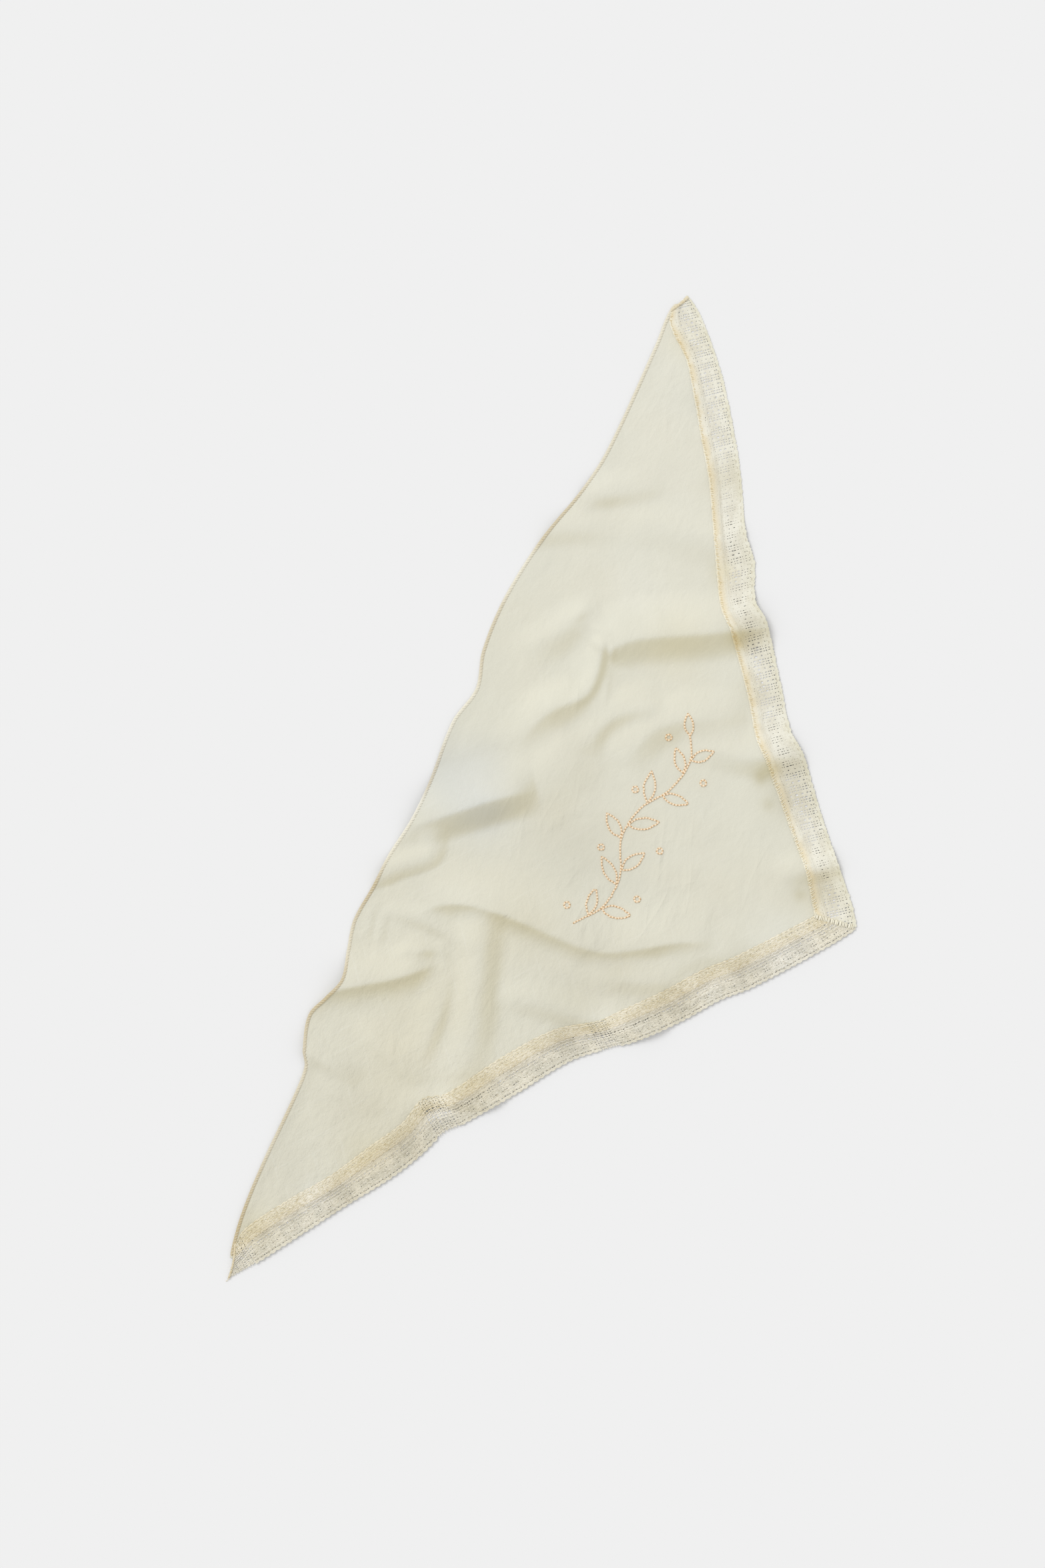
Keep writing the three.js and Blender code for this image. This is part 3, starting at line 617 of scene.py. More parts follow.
class Nodes:
    """Adds nodes to a material: each call makes one, sets its sockets and returns its first output."""

    def __init__(self, tree):
        self.tree = tree
        tree.nodes.clear()

    def __call__(self, kind, sockets=None, output=0, **settings):
        node = self.tree.nodes.new(kind)
        for name, value in settings.items():
            setattr(node, name, value)
        for name, value in (sockets or {}).items():
            if isinstance(value, bpy.types.NodeSocket):
                self.tree.links.new(value, node.inputs[name])
            else:
                node.inputs[name].default_value = value
        return node.outputs[output]

    def math(self, operation, a, b=0.5, c=0.5):
        return self("ShaderNodeMath", {0: a, 1: b, 2: c}, operation=operation)

    def product(self, a, b):
        return self.math("MULTIPLY", a, b)

    def mix(self, factor, a, b, **settings):
        return self("ShaderNodeMix", {0: factor, 6: a, 7: b}, output=2, data_type="RGBA", **settings)

    def tone(self, name):
        """One of the tones that each mesh has at its points."""
        return self("ShaderNodeAttribute", output=2, attribute_name=name)

    def times(self, vector, by):
        """The vector or colour multiplied by another, part by part."""
        return self("ShaderNodeVectorMath", {0: vector, 1: by}, operation="MULTIPLY")

    def scaled(self, vector, by):
        return self("ShaderNodeVectorMath", {0: vector, "Scale": by}, operation="SCALE")

    def turned(self, place, degrees):
        return self("ShaderNodeVectorRotate", {"Vector": place, "Angle": math.radians(degrees)},
                    rotation_type="Z_AXIS")

    def noise(self, place, waves, detail=2.0, roughness=0.5):
        """Noise about 0.5, at so many waves a metre along x and y."""
        vector = self.times(place, (*waves, 1.0))
        return self("ShaderNodeTexNoise", {"Vector": vector, "Scale": 1.0, "Detail": detail,
                                           "Roughness": roughness})

    def threads(self, place, direction, pitch, wander=0.0):
        """A ridge every pitch metres along a direction, X or Y."""
        return self("ShaderNodeTexWave", {"Vector": place, "Scale": math.pi / 10 / pitch,
                                          "Distortion": wander, "Detail": 1.0, "Detail Scale": 0.3},
                    bands_direction=direction, wave_profile="SIN")

    def ramp(self, factor, stops):
        ramp = self.tree.nodes.new("ShaderNodeValToRGB")
        self.tree.links.new(factor, ramp.inputs[0])
        elements = ramp.color_ramp.elements
        while len(elements) < len(stops):
            elements.new(0.5)
        for element, (position, colour) in zip(elements, stops):
            element.position = position
            element.color = colour
        return ramp.outputs[0]

    def colours(self, factor, *stops):
        """A ramp of colours, from (position, colour)."""
        return self.ramp(factor, [(position, linear(*colour)) for position, colour in stops])

    def fade(self, factor, *stops):
        """A ramp of plain values, from (position, value)."""
        return self.ramp(factor, [(position, (value, value, value, 1.0)) for position, value in stops])

    def bump(self, height, distance, normal=None):
        sockets = {"Height": height, "Distance": distance}
        if normal is not None:
            sockets["Normal"] = normal
        return self("ShaderNodeBump", sockets)

    def output(self, shader, kind="ShaderNodeOutputMaterial"):
        out = self.tree.nodes.new(kind)
        self.tree.links.new(shader, out.inputs["Surface"])


def new_material(name):
    material = bpy.data.materials.new(name)
    material.use_nodes = True
    return material, Nodes(material.node_tree)


def cotton(nodes, colour, normal, roughness=0.9, sheen=0.1):
    """Cotton, warmer, lighter and darker in places as each piece's own tones say: aged tone and stains,
    and the painted shade of the folds.
    """
    tint = nodes("ShaderNodeVectorMath", {0: nodes.tone("warmth"), 1: WARM_TINT, 2: (1, 1, 1)},
                 operation="MULTIPLY_ADD")
    colour = nodes.scaled(nodes.times(colour, tint), nodes.tone("light"))
    return nodes("ShaderNodeBsdfPrincipled", {
        "Base Color": colour, "Roughness": roughness, "Specular IOR Level": 0.2,
        "Sheen Weight": sheen, "Sheen Roughness": 0.5, "Normal": normal,
    })


def voile_colour(nodes, place, along, slubs):
    """Cream, darker and yellower towards the left tip, with faint clouds of warmer and cooler tone, and
    paler slubs.
    """
    colour = nodes.colours(along, (0.15, (222, 219, 202)), (0.5, (225, 223, 207)), (0.85, (230, 228, 214)))
    clouds = nodes.noise(place, (26.0, 30.0), detail=4.0, roughness=0.6)
    colour = nodes.scaled(colour, nodes.math("MULTIPLY_ADD", clouds, CLOUD_DEPTH, 1 - CLOUD_DEPTH / 2))
    warm = nodes.noise(nodes.turned(place, 70), (12.0, 17.0), detail=3.0)
    colour = nodes.mix(nodes.fade(warm, (0.4, 0), (0.7, 0.5)), colour,
                       nodes.times(colour, (1.0, 0.98, 0.95)))
    return nodes.mix(nodes.product(slubs, SLUB_SHOWN), colour, linear(*SLUB_COLOUR))


def voile_creases(nodes, place, normal):
    """Sharp little creases and fine wrinkles, where the cloth has been folded and pressed."""
    breaks = nodes.noise(place, (21.0, 21.0), detail=1.0)
    creased = nodes.product(nodes.tone("creased"), nodes.fade(breaks, (0.46, 0), (0.6, 1)))
    for turn, waves_each_way in CREASES:
        line = nodes.noise(nodes.turned(place, turn), waves_each_way, detail=1.5)
        line = nodes.math("ABSOLUTE", nodes.math("SUBTRACT", line, 0.5))
        line = nodes.fade(line, (0.0, 1), (0.02, 0.6), (0.07, 0))
        normal = nodes.bump(nodes.product(line, creased), CREASE_DEPTH, normal)
    wrinkles = nodes.noise(nodes.turned(place, WRINKLE_TURN), (24.0, 170.0))
    return nodes.bump(nodes.product(wrinkles, creased), WRINKLE_DEPTH, normal)


def voile_material():
    """Fine plain-woven cotton: a close weave with slubs, on a softly crumpled and creased surface."""
    material, nodes = new_material("cotton_voile")
    place = nodes("ShaderNodeUVMap", uv_map="flat")
    along = nodes("ShaderNodeSeparateXYZ", {0: place}, output=0)
    slubs = [nodes.noise(nodes.turned(place, turn), SLUB_WAVES) for turn in SLUB_TURNS]
    slubs = nodes.fade(nodes.math("MAXIMUM", *slubs), (0.58, 0), (0.72, 1))
    limp = nodes.fade(along, (0.02, 1), (0.3, 0.75), (0.42, 0.4), (0.62, 0.4), (0.9, 0.6))
    on_weave = nodes.turned(place, WEAVE_TURN)
    weave = nodes.product(*(nodes.threads(on_weave, way, WEAVE_PITCH) for way in "XY"))
    normal = nodes.bump(slubs, SLUB_DEPTH, nodes.bump(weave, WEAVE_DEPTH))
    crumple = nodes.noise(place, (75.0, 110.0), detail=4.0, roughness=0.65)
    normal = nodes.bump(nodes.product(crumple, limp), CRUMPLE_DEPTH, normal)
    normal = voile_creases(nodes, place, normal)
    colour = voile_colour(nodes, place, along, nodes.product(slubs, limp))
    nodes.output(cotton(nodes, colour, normal))
    return material


def lace_ridges(nodes, place, share, lines):
    """Bright threads along the lace, weaker in places."""
    stops = [(0.0, 0)]
    for middle, half, strength in lines:
        stops += [(middle - half, 0), (middle, strength), (middle + half, 0)]
    breaks = nodes.fade(nodes.noise(place, (110.0, 60.0), detail=1.0), (0.35, 0.25), (0.55, 1))
    return nodes.product(nodes.fade(share, *stops), breaks)


def lace_gap_shade(nodes, place, share, ridges, gap_shade_waves, darkness):
    """Painted shade in the gaps between the bright threads, and in the loops along both edges."""
    marks = nodes.fade(nodes.noise(place, gap_shade_waves, detail=1.0), (0.56, 0), (0.68, darkness))
    marks = nodes.product(marks, nodes.math("SUBTRACT", 1.0, ridges))
    loops = nodes.fade(nodes.threads(place, "X", SCALLOP_PITCH / 1000), (0.45, 0), (0.8, 0.5))
    edges = nodes.fade(share, (0.03, 0), (0.06, 1), (0.09, 0), (0.93, 0), (0.95, 0.6), (0.98, 0))
    return nodes.math("MAXIMUM", marks, nodes.product(loops, edges))


def lace_material(name, tones, raised, lines, gap_shade_waves, darkness, rungs):
    """Cotton lace. tones are its colours across the strip, from the outer edge, as (share, colour), and
    raised is that of its raised threads. Bright threads run along it at lines, (share, half width,
    strength). dashes are the waves of its painted shade in the gaps between threads, darkness is how much
    it shows, and rungs how much the fine threads across it do."""
    material, nodes = new_material(name)
    raised = linear(*raised)
    place = nodes("ShaderNodeUVMap", uv_map="flat")
    across = nodes("ShaderNodeSeparateXYZ", {0: place}, output=1)
    bend = nodes.math("MULTIPLY_ADD", nodes.noise(place, (60.0, 25.0)), 0.16, -0.08)
    share = nodes.math("MULTIPLY_ADD", across, 1000 / LACE_WIDTH, bend)
    patches = nodes.noise(place, (70.0, 110.0), detail=3.0)
    ridges = lace_ridges(nodes, place, share, lines)
    ladder = nodes.product(nodes.threads(place, "X", LADDER_ALONG, wander=2.5),
                           nodes.threads(place, "Y", LADDER_ACROSS, wander=3.0))
    ladder = nodes.product(ladder, nodes.fade(patches, (0.4, 1), (0.6, 0.2)))

    colour = nodes.colours(share, *tones)
    colour = nodes.mix(nodes.fade(patches, (0.44, 0), (0.6, 0.6)), colour, raised)
    colour = nodes.mix(ridges, colour, raised)
    # painted shade in the gaps between the threads and in the notches of the edge loops
    dark = nodes.mix(1.0, colour, GAP_SHADE_TINT, blend_type="MULTIPLY")
    colour = nodes.mix(lace_gap_shade(nodes, place, share, ridges, gap_shade_waves, darkness), colour, dark)
    colour = nodes.mix(nodes.product(ladder, rungs), colour, raised)

    normal = nodes.bump(ladder, LADDER_DEPTH, nodes.bump(ridges, RIDGE_DEPTH))
    normal = nodes.bump(nodes.noise(place, (1200.0, 1500.0)), FUZZ_DEPTH, normal)
    nodes.output(cotton(nodes, colour, normal))
    return material


def thread_material(name, colour, paler):
    """Twisted sewing thread, browner where the piece's own tone says."""
    material, nodes = new_material(name)
    place = nodes("ShaderNodeTexCoord", output=3)
    tone = nodes.fade(nodes.noise(place, (500.0, 500.0)), (0.35, 0), (0.65, 1))
    mixed = nodes.mix(tone, linear(*colour), linear(*paler))
    mixed = nodes.mix(nodes.tone("brown"), mixed, linear(*BROWN))
    fibres = nodes.noise(place, (2500.0, 2500.0), detail=1.0)
    nodes.output(cotton(nodes, mixed, nodes.bump(fibres, FIBRE_DEPTH), roughness=0.75, sheen=0.2))
    return material


voile = voile_material()
# The left lace's greyer body is partly its own tone and partly painted shade of the many slits in it.
lace_yellow = lace_material(
    "lace_yellow",
    tones=[(0.0, (225, 220, 202)), (0.15, (209, 205, 189)), (0.35, (204, 200, 184)),
           (0.55, (206, 200, 182)), (0.66, (212, 202, 177)), (0.8, (220, 211, 184)),
           (0.92, (225, 217, 191)), (1.0, (231, 225, 205))],
    raised=(238, 232, 214), gap_shade_waves=(330.0, 800.0), darkness=0.45, rungs=0.3,
    lines=[(0.35, 0.02, 0.4), (0.7, 0.018, 0.4), (0.88, 0.018, 0.4)],
)
lace_white = lace_material(
    "lace_white",
    tones=[(0.0, (233, 229, 207)), (0.2, (231, 227, 210)), (0.6, (230, 226, 211)), (0.78, (234, 227, 206)),
           (0.9, (237, 224, 192)), (1.0, (237, 231, 210))],
    raised=(242, 240, 227), gap_shade_waves=(900.0, 350.0), darkness=0.15, rungs=0.25,
    lines=[(0.08, 0.02, 0.5), (0.3, 0.02, 0.4), (0.72, 0.02, 0.6)],
)
hem_thread = thread_material("hem_thread", (233, 228, 210), (238, 234, 218))
whip_thread = thread_material("whip_thread", (232, 227, 208), (238, 234, 218))
seam_thread = thread_material("seam_thread", (222, 208, 174), (230, 220, 194))
tan_thread = thread_material("tan_thread", (232, 214, 170), (240, 228, 196))
cord_thread = thread_material("cord_thread", (210, 204, 185), (244, 239, 226))
gold_thread = thread_material("gold_thread", (213, 200, 163), (245, 238, 218))
pale_thread = thread_material("pale_thread", (238, 232, 210), (243, 239, 222))
peach_thread = thread_material("peach_thread", (246, 222, 188), (250, 231, 204))
amber_thread = thread_material("amber_thread", (202, 158, 104), (214, 176, 128))

# ---- The cloth ----


def cloth_piece():
    """Rows of points from the left lace to the right lace. The first follows the long edge, and the last is
    the single point where the two strips of lace meet."""
    count = round(-POINT[1] / CLOTH_PITCH)
    shares = np.linspace(0, 1, count + 1)
    left, right = left_side.cloth_edge(shares), right_side.cloth_edge(shares)
    right[-1] = left[-1]
    places, index, border = [], [], []
    total = 0
    for share, start, end in zip(shares, left, right):
        steps = max(1, round(np.linalg.norm(end - start) / CLOTH_PITCH)) if share < 1 else 0
        part = np.linspace(0, 1, steps + 1)[:, None]
        line = start + (end - start) * part
        straight = left[0, 1] + (right[0, 1] - left[0, 1]) * part[:, 0]
        rise = long_edge_rise(line[:, 0]) - straight
        line[1:-1, 1] += rise[1:-1] * (1 - share) ** 2
        places.append(line)
        index.append(np.arange(total, total + steps + 1))
        edge = np.full(steps + 1, share == 0)
        edge[[0, -1]] = True
        border.append(edge)
        total += steps + 1
    triangles = [t for upper, lower in zip(index, index[1:]) for t in between_rows(upper, lower)]
    places = np.vstack(places)
    middle = relief(*places.T) + waves(*places.T) + CLOTH_THICKNESS / 2
    half = np.full(len(places), CLOTH_THICKNESS / 2)
    return thin_sheet("cloth_sheet", places, middle, half, triangles, np.concatenate(border),
                      slot="cotton_cloth", material=voile)


HEM_FROM, HEM_TO = 17.0, 806.0  # where the hem begins and ends, along the long edge
HEM_WIDTH = 2.5
HEM_HEIGHT = 0.6
HEM_OUT = 0.2  # how far the roll stands out past the cloth's edge, and how far it rides above the cloth
HEM_SIDES = 12
WHIP_PITCH = 2.3
WHIP_SLANT = 1.8  # how far along one stitch runs
WHIP_ABOVE = 0.15  # the middle of its thickness, above the hem
WHIP_BROWN = 0.6  # the share of the hem's brown and painted shade that the whip stitches have
# How brown the hem is along the long edge: partly the thread's own tan, partly painted shade where the roll
# turns away from the light on the crests of its waves.
HEM_TONE = rows(
    "along brown",
    (17, 0.75), (50, 0.75), (82, 0.55), (100, 0.35), (130, 0.5), (160, 0.35), (182, 0.5), (220, 0.65),
    (244, 0.6), (262, 0.25), (285, 0.45), (302, 0.7), (322, 0.55), (342, 0.05), (385, 0), (400, 0.45),
    (425, 0.3), (442, 0), (480, 0.1), (490, 0.3), (508, 0.45), (540, 0.4), (560, 0.1), (586, 0.1),
    (602, 0.5), (622, 0.6), (642, 0.5), (660, 0.25), (700, 0.22), (740, 0.2), (775, 0.1), (814, 0.3),
)
hem_brown_and_shade = column(HEM_TONE, "brown")


def hem_line(along, share):
    """Places on top of the hem, at a share of its width from the inner side to the outer."""
    y = long_edge_rise(along) + HEM_OUT - HEM_WIDTH * (1 - share)
    height = relief(along, y) + waves(along, y) + CLOTH_THICKNESS / 2 + HEM_OUT
    return np.column_stack([along, y, height])


def hem_piece():
    """The rolled hem along the long edge."""
    along = np.arange(HEM_FROM, HEM_TO, 1.0)
    brown = np.r_[np.repeat(hem_brown_and_shade(along), HEM_SIDES), hem_brown_and_shade(HEM_FROM), hem_brown_and_shade(HEM_TO)]
    return ropes("hem_roll", [hem_line(along, 0.5)], (HEM_WIDTH / 2, HEM_HEIGHT / 2), sides=HEM_SIDES,
                 brown=brown, slot="cotton_cloth", material=hem_thread)


def hem_stitches():
    """Whip stitches wound slantwise over the roll of the hem."""
    rng = np.random.default_rng(5)
    along = spaced(HEM_FROM + 2, HEM_TO - 2, WHIP_PITCH, rng)
    starts = hem_line(along - WHIP_SLANT / 2, 0.85) + [0, 0, WHIP_ABOVE]
    ends = hem_line(along + WHIP_SLANT / 2, 0.0) + [0, 0, WHIP_ABOVE]
    return stitches("hem_stitches", starts, ends, width=0.75, height=0.45, bulge=0.35,
                    brown=WHIP_BROWN * hem_brown_and_shade(along), slot="stitching", material=whip_thread)


# ---- The lace ----

# Columns of the repeat: a lone column, then a block of three columns of holes between two solid bars.
LACE_COLUMNS = [("lone", 2.2), ("bar", 0.95), ("block", 1.9), ("block", 1.9), ("block", 1.9), ("bar", 0.95)]
# Rows from the outer edge to the heading: (height, which columns have holes in that row, and how far those
# holes stand open along the strip and across it where the strip isn't stretched). 1 is open all the way.
LEFT_ROWS = [
    (0.9, "", 0, 0), (1.4, "lone block", 1.0, 0.9), (1.3, "", 0, 0), (1.3, "", 0, 0),
    (1.7, "block", 0.9, 0.4), (1.7, "lone block", 0.6, 0.4), (1.5, "", 0, 0), (1.9, "block", 0.6, 0.4),
    (1.9, "lone block", 1.0, 0.45), (1.4, "", 0, 0), (2.0, "lone", 0.5, 0.3), (2.4, "", 0, 0),
    (1.0, "lone", 0.7, 0.2), (2.0, "", 0, 0), (1.5, "lone block", 0.6, 0.25), (2.9, "", 0, 0),
]
RIGHT_ROWS = [
    (1.5, "", 0, 0), (1.9, "lone block", 0.5, 0.6), (2.1, "lone block", 0.5, 0.7),
    (2.1, "block", 0.55, 0.75), (2.2, "lone block", 0.6, 0.8), (2.3, "block", 0.65, 0.9),
    (2.2, "lone block", 0.65, 0.9), (2.1, "block", 0.6, 0.8), (1.9, "lone block", 0.55, 0.6),
    (1.5, "", 0, 0), (1.3, "lone block", 0.35, 0.2), (2.2, "", 0, 0), (3.5, "", 0, 0),
]
# How far the holes are pulled open along each strip. Below 0 they are drawn together.
LEFT_OPENNESS = rows(
    "along open",
    (0, 0.6), (8, 0.9), (22, 0.9), (30, 0.2), (60, 0.05), (186, 0.05), (191, 1.0), (205, 1.0), (210, 0.3),
    (226, 0.1), (305, 0.05), (326, 0.5), (331, 0.9), (341, 0.9), (346, 0.3), (385, 0.1), (470, 0.1),
    (490, 0.5), (530, 0.6), (540, 0.6),
)
RIGHT_OPENNESS = rows(
    "along open",
    (0, 0.2), (60, 0.3), (110, 0.3), (125, -0.2), (140, -0.8), (186, -0.8), (200, -0.3), (215, -0.3),
    (228, -0.7), (254, -0.7), (266, 0.1), (300, 0.3), (318, 0), (330, -0.7), (356, -0.7), (366, 0.1),
    (405, 0.3), (420, -0.4), (430, -0.8), (456, -0.8), (468, 0.1), (491, 0.3),
)
NET_OPEN = 0.62  # a strip that is stretched this far is an open net all the way across
LACE_BAR = 0.72  # width of the threads between two holes
LEAST_HOLE = 0.35  # height of the holes in the lowest rows
HOLE_ROUND = 0.8  # a hole's corners stand out by this share of what its sides do
THREAD_HALF = 0.16  # half the thickness of the threads
WEB_HALF = 0.1  # and of the close-worked cells between them
CORD_HALF = 0.2  # and of the cord along each edge
CUT_SHORT = 0.15  # how far each strip stops short of the other at the point
EDGE_DROP = 0.14  # how far the scallops of the inner edge bend down to the cloth
CURL_REACH = 13.0  # how far in from its outer edge the lace lifts off the surface
INNER_SCALLOP = 0.7  # of the scallops' height, the share that the inner edge has
SHIFT_ALONG = 0.12  # how far the threads are shifted from the chart, along the strip
SHIFT_ACROSS = 0.04
WANDER_ACROSS = 0.16  # and how far whole stretches of a row wander
RIPPLE_HEIGHT = 0.3  # how far the rows of holes wind to each side
RIPPLE_LENGTH = 8.6
RIPPLE_DEPTH = 3.0  # how far in from an edge the rows begin to wind
# The eight points round a cell, from its lower left corner: steps of half a cell along and across.
CELL_ROUND = [(0, 0), (1, 0), (2, 0), (2, 1), (2, 2), (1, 2), (0, 2), (0, 1)]


def with_middles(edges):
    """Edges of the cells and the middle of each cell, in order."""
    lines = np.empty(2 * len(edges) - 1)
    lines[::2] = edges
    lines[1::2] = (edges[:-1] + edges[1:]) / 2
    return lines


def lace_middle(side, along, across):
    """Height of the middle of the lace's thickness: over the cloth's edge, then down to the surface, from
    which its outer edge lifts off a little."""
    x, y = side.on_strip(along, across / LACE_WIDTH).T
    over = side.covered(along) - (1 - across / LACE_WIDTH)
    on_cloth = CLOTH_THICKNESS + LACE_GAP + waves(x, y) + CORD_HALF
    lying = relief(x, y) + THREAD_HALF + side.lift(along) * smoothstep(1 - across / CURL_REACH)
    return lying + on_cloth * smoothstep(1 + over * side.width(along) / LACE_DROP)


def lace_grid(side, s_lines, v_lines, seed, rng):
    """The grid of threads: each point's distance along and across, whether it lies on or beyond a cut end,
    and its number. A point beyond a cut has the number of the one that is drawn back to the cut."""
    share = v_lines[:, None] / LACE_WIDTH
    start = side.tip_lean * share
    end = side.length - CUT_SHORT + side.point_lean * share
    s = np.repeat(s_lines[None], len(v_lines), axis=0)
    v = np.repeat(v_lines[:, None], len(s_lines), axis=1)
    wander = blurred(rng.standard_normal(s.shape), 1.0, 4.0)
    s_moved = s + SHIFT_ALONG * rng.standard_normal(s.shape)
    v_moved = v + WANDER_ACROSS * wander / wander.std() + SHIFT_ACROSS * rng.standard_normal(s.shape)
    scallops = np.abs(np.cos(np.pi * (s_lines - LACE_COLUMNS[0][1] / 2) / SCALLOP_PITCH))
    picots = side.picot * np.random.default_rng(seed + 40).random(len(s_lines))
    v_moved[0] = -side.scallop * scallops - picots
    v_moved[-1] = LACE_WIDTH + INNER_SCALLOP * side.scallop * scallops
    cut = (s <= start) | (s >= end)
    s_moved = np.clip(np.where(cut, s, s_moved), start, end)
    first = np.maximum(np.searchsorted(s_lines, start, side="right") - 1, 0)
    last = np.minimum(np.searchsorted(s_lines, end, side="left"), len(s_lines) - 1)
    number = np.arange(len(v_lines))[:, None] * len(s_lines) + np.clip(np.arange(len(s_lines)), first, last)
    return s_moved, v_moved, cut, number


def lace_cells(chart, kinds, cut, open_share):
    """The rows and columns of the cells that are whole, and of those that have a hole. The cells beyond a
    cut end are left out."""
    r, c = np.meshgrid(np.arange(len(chart)), np.arange(len(kinds)), indexing="ij")
    nine_cut = [cut[2 * r + i, 2 * c + j] for i in range(3) for j in range(3)]
    kept = ~np.all(nine_cut, axis=0)
    holes = np.array([[kind in where.split() for kind in kinds] for _, where, _, _ in chart])
    holed = kept & (holes | (open_share > NET_OPEN)) & ~np.any(nine_cut, axis=0)
    return np.nonzero(kept & ~holed), np.nonzero(holed)


def hole_points(side, chart, widths, middle_s, middle_v, r, c, open_share, rng):
    """The eight points round each hole, as distances along and across."""
    height, _, slit_s, slit_v = (np.array(values)[r] for values in zip(*chart))
    size = np.clip(1 + side.uneven * rng.standard_normal(len(r)), 0.4, 1.4)
    half_s = (np.array(widths)[c] - LACE_BAR) / 2 * (slit_s + (1 - slit_s) * open_share) * size
    half_v = np.maximum(height - LACE_BAR, LEAST_HOLE) / 2 * (slit_v + (1 - slit_v) * open_share) * size
    steps = np.array(CELL_ROUND) - 1.0
    steps[np.all(steps != 0, axis=1)] *= HOLE_ROUND
    return middle_s + steps[:, :1] * half_s, middle_v + steps[:, 1:] * half_v


def lace_triangles(number, whole, rim, ring):
    """Four squares for each whole cell, and eight round each hole, each square as two triangles."""
    r, c = whole
    quads = []
    for i in (0, 1):
        for j in (0, 1):
            a, b = 2 * r + i, 2 * c + j
            corners = [number[a, b], number[a, b + 1], number[a + 1, b + 1], number[a + 1, b]]
            quads.append(np.stack(corners, -1))
    round_holes = np.stack([rim, np.roll(rim, -1, axis=0), np.roll(ring, -1, axis=0), ring], -1)
    quads = np.vstack([*quads, round_holes.reshape(-1, 4)])
    triangles = np.vstack([quads[:, [0, 1, 2]], quads[:, [0, 2, 3]]])
    return triangles[(triangles != np.roll(triangles, 1, axis=1)).all(axis=1)]


def lace_thickness(cut, ring):
    """Half the thickness at each point, and whether the point is on the border of the strip or a hole."""
    half = np.full(cut.shape, THREAD_HALF)
    half[1::2, 1::2] = WEB_HALF
    half[1] = half[-2] = CORD_HALF
    border = cut.copy()
    border[0] = border[-1] = True
    return np.r_[half.ravel(), np.zeros(ring.size)], np.r_[border.ravel(), np.ones(ring.size, bool)]


def lace_piece(name, side, chart, openness, seed, material):
    """A strip of lace: cells between lines along and across, each whole or with a hole."""
    rng = np.random.default_rng(seed)
    repeat = sum(width for _, width in LACE_COLUMNS)
    kinds, widths = zip(*LACE_COLUMNS * math.ceil(side.length / repeat))
    s_lines = with_middles(np.r_[0, np.cumsum(widths)])
    v_lines = with_middles(np.r_[0, np.cumsum([height for height, *_ in chart])])
    s, v, cut, number = lace_grid(side, s_lines, v_lines, seed, rng)
    whole, (r, c) = lace_cells(chart, kinds, cut, openness(s_lines[1::2]))
    middle_s, middle_v = s_lines[2 * c + 1], v_lines[2 * r + 1]
    hole_s, hole_v = hole_points(side, chart, widths, middle_s, middle_v, r, c, openness(middle_s), rng)
    rim = np.array([number[2 * r + i, 2 * c + j] for j, i in CELL_ROUND])
    ring = s.size + np.arange(rim.size).reshape(rim.shape)
    triangles = lace_triangles(number, whole, rim, ring)
    if side.mirrored:
        triangles = triangles[:, ::-1]

    along = np.r_[s.ravel(), hole_s.ravel()]
    across = np.r_[v.ravel(), hole_v.ravel()]
    inside = np.clip(np.minimum(across, LACE_WIDTH - across) / RIPPLE_DEPTH, 0, 1)
    across = across + RIPPLE_HEIGHT * inside * np.sin(2 * np.pi * along / RIPPLE_LENGTH + across)
    places = side.on_strip(along, across / LACE_WIDTH)
    middle = lace_middle(side, along, across) - EDGE_DROP * (across > LACE_WIDTH)
    half, border = lace_thickness(cut, ring)

    used = np.unique(triangles)
    renumber = np.zeros(len(places), int)
    renumber[used] = np.arange(len(used))
    return thin_sheet(name, places[used], middle[used], half[used], renumber[triangles], border[used],
                      uv=np.column_stack([along, across])[used], slot="cotton_lace", material=material)


def on_lace(side, along, across, above=0.25):
    """Places on top of the lace."""
    height = lace_middle(side, along, across) + above
    return np.column_stack([side.on_strip(along, across / LACE_WIDTH), height])


CORD_STEP = 0.7
CORD_SWAY = 0.4  # how far a cord winds to each side
CORD_RADII = (0.27, 0.24)
BODY_CORDS = [(2.9, 2.9), (5.0, 3.7), (7.1, 2.7), (9.2, 3.9), (11.4, 3.1), (13.6, 2.7), (15.8, 3.5)]
HEADING_CORDS = [(17.6, 3.6), (19.3, 4.9), (21.0, 3.3), (22.7, 4.9), (24.5, 3.6), (26.4, 4.9)]


def lace_cords(name, side, cords, seed, **finish):
    """Thick threads that wind along the strip. cords are (distance across, pitch of the winding)."""
    rng = np.random.default_rng(seed)
    lines = []
    for across, pitch in cords:
        share = across / LACE_WIDTH
        first = side.tip_lean * share + 0.5
        last = side.length + side.point_lean * share - 0.7
        along = np.arange(first, last, CORD_STEP)
        phase_wander, sway_wander = blurred(rng.standard_normal((2, len(along))), 0.1, 6.0)
        phase = 2 * np.pi * (along / pitch + rng.uniform() + 0.3 * phase_wander / phase_wander.std())
        sway = CORD_SWAY * (1 + 0.35 * sway_wander / sway_wander.std())
        lines.append(on_lace(side, along, across + sway * np.sin(phase), above=0.14))
    return ropes(name, lines, CORD_RADII, sides=6, slot="cotton_lace", **finish)


SEAM_STRAY = 0.4  # how far the ends of the stitches stray to the one and the other side
MITRE_PITCH = 0.95
TIP_PITCH = 1.3
END_REACH = 2.7  # how far the stitches at a strip's cut end reach in from the cut


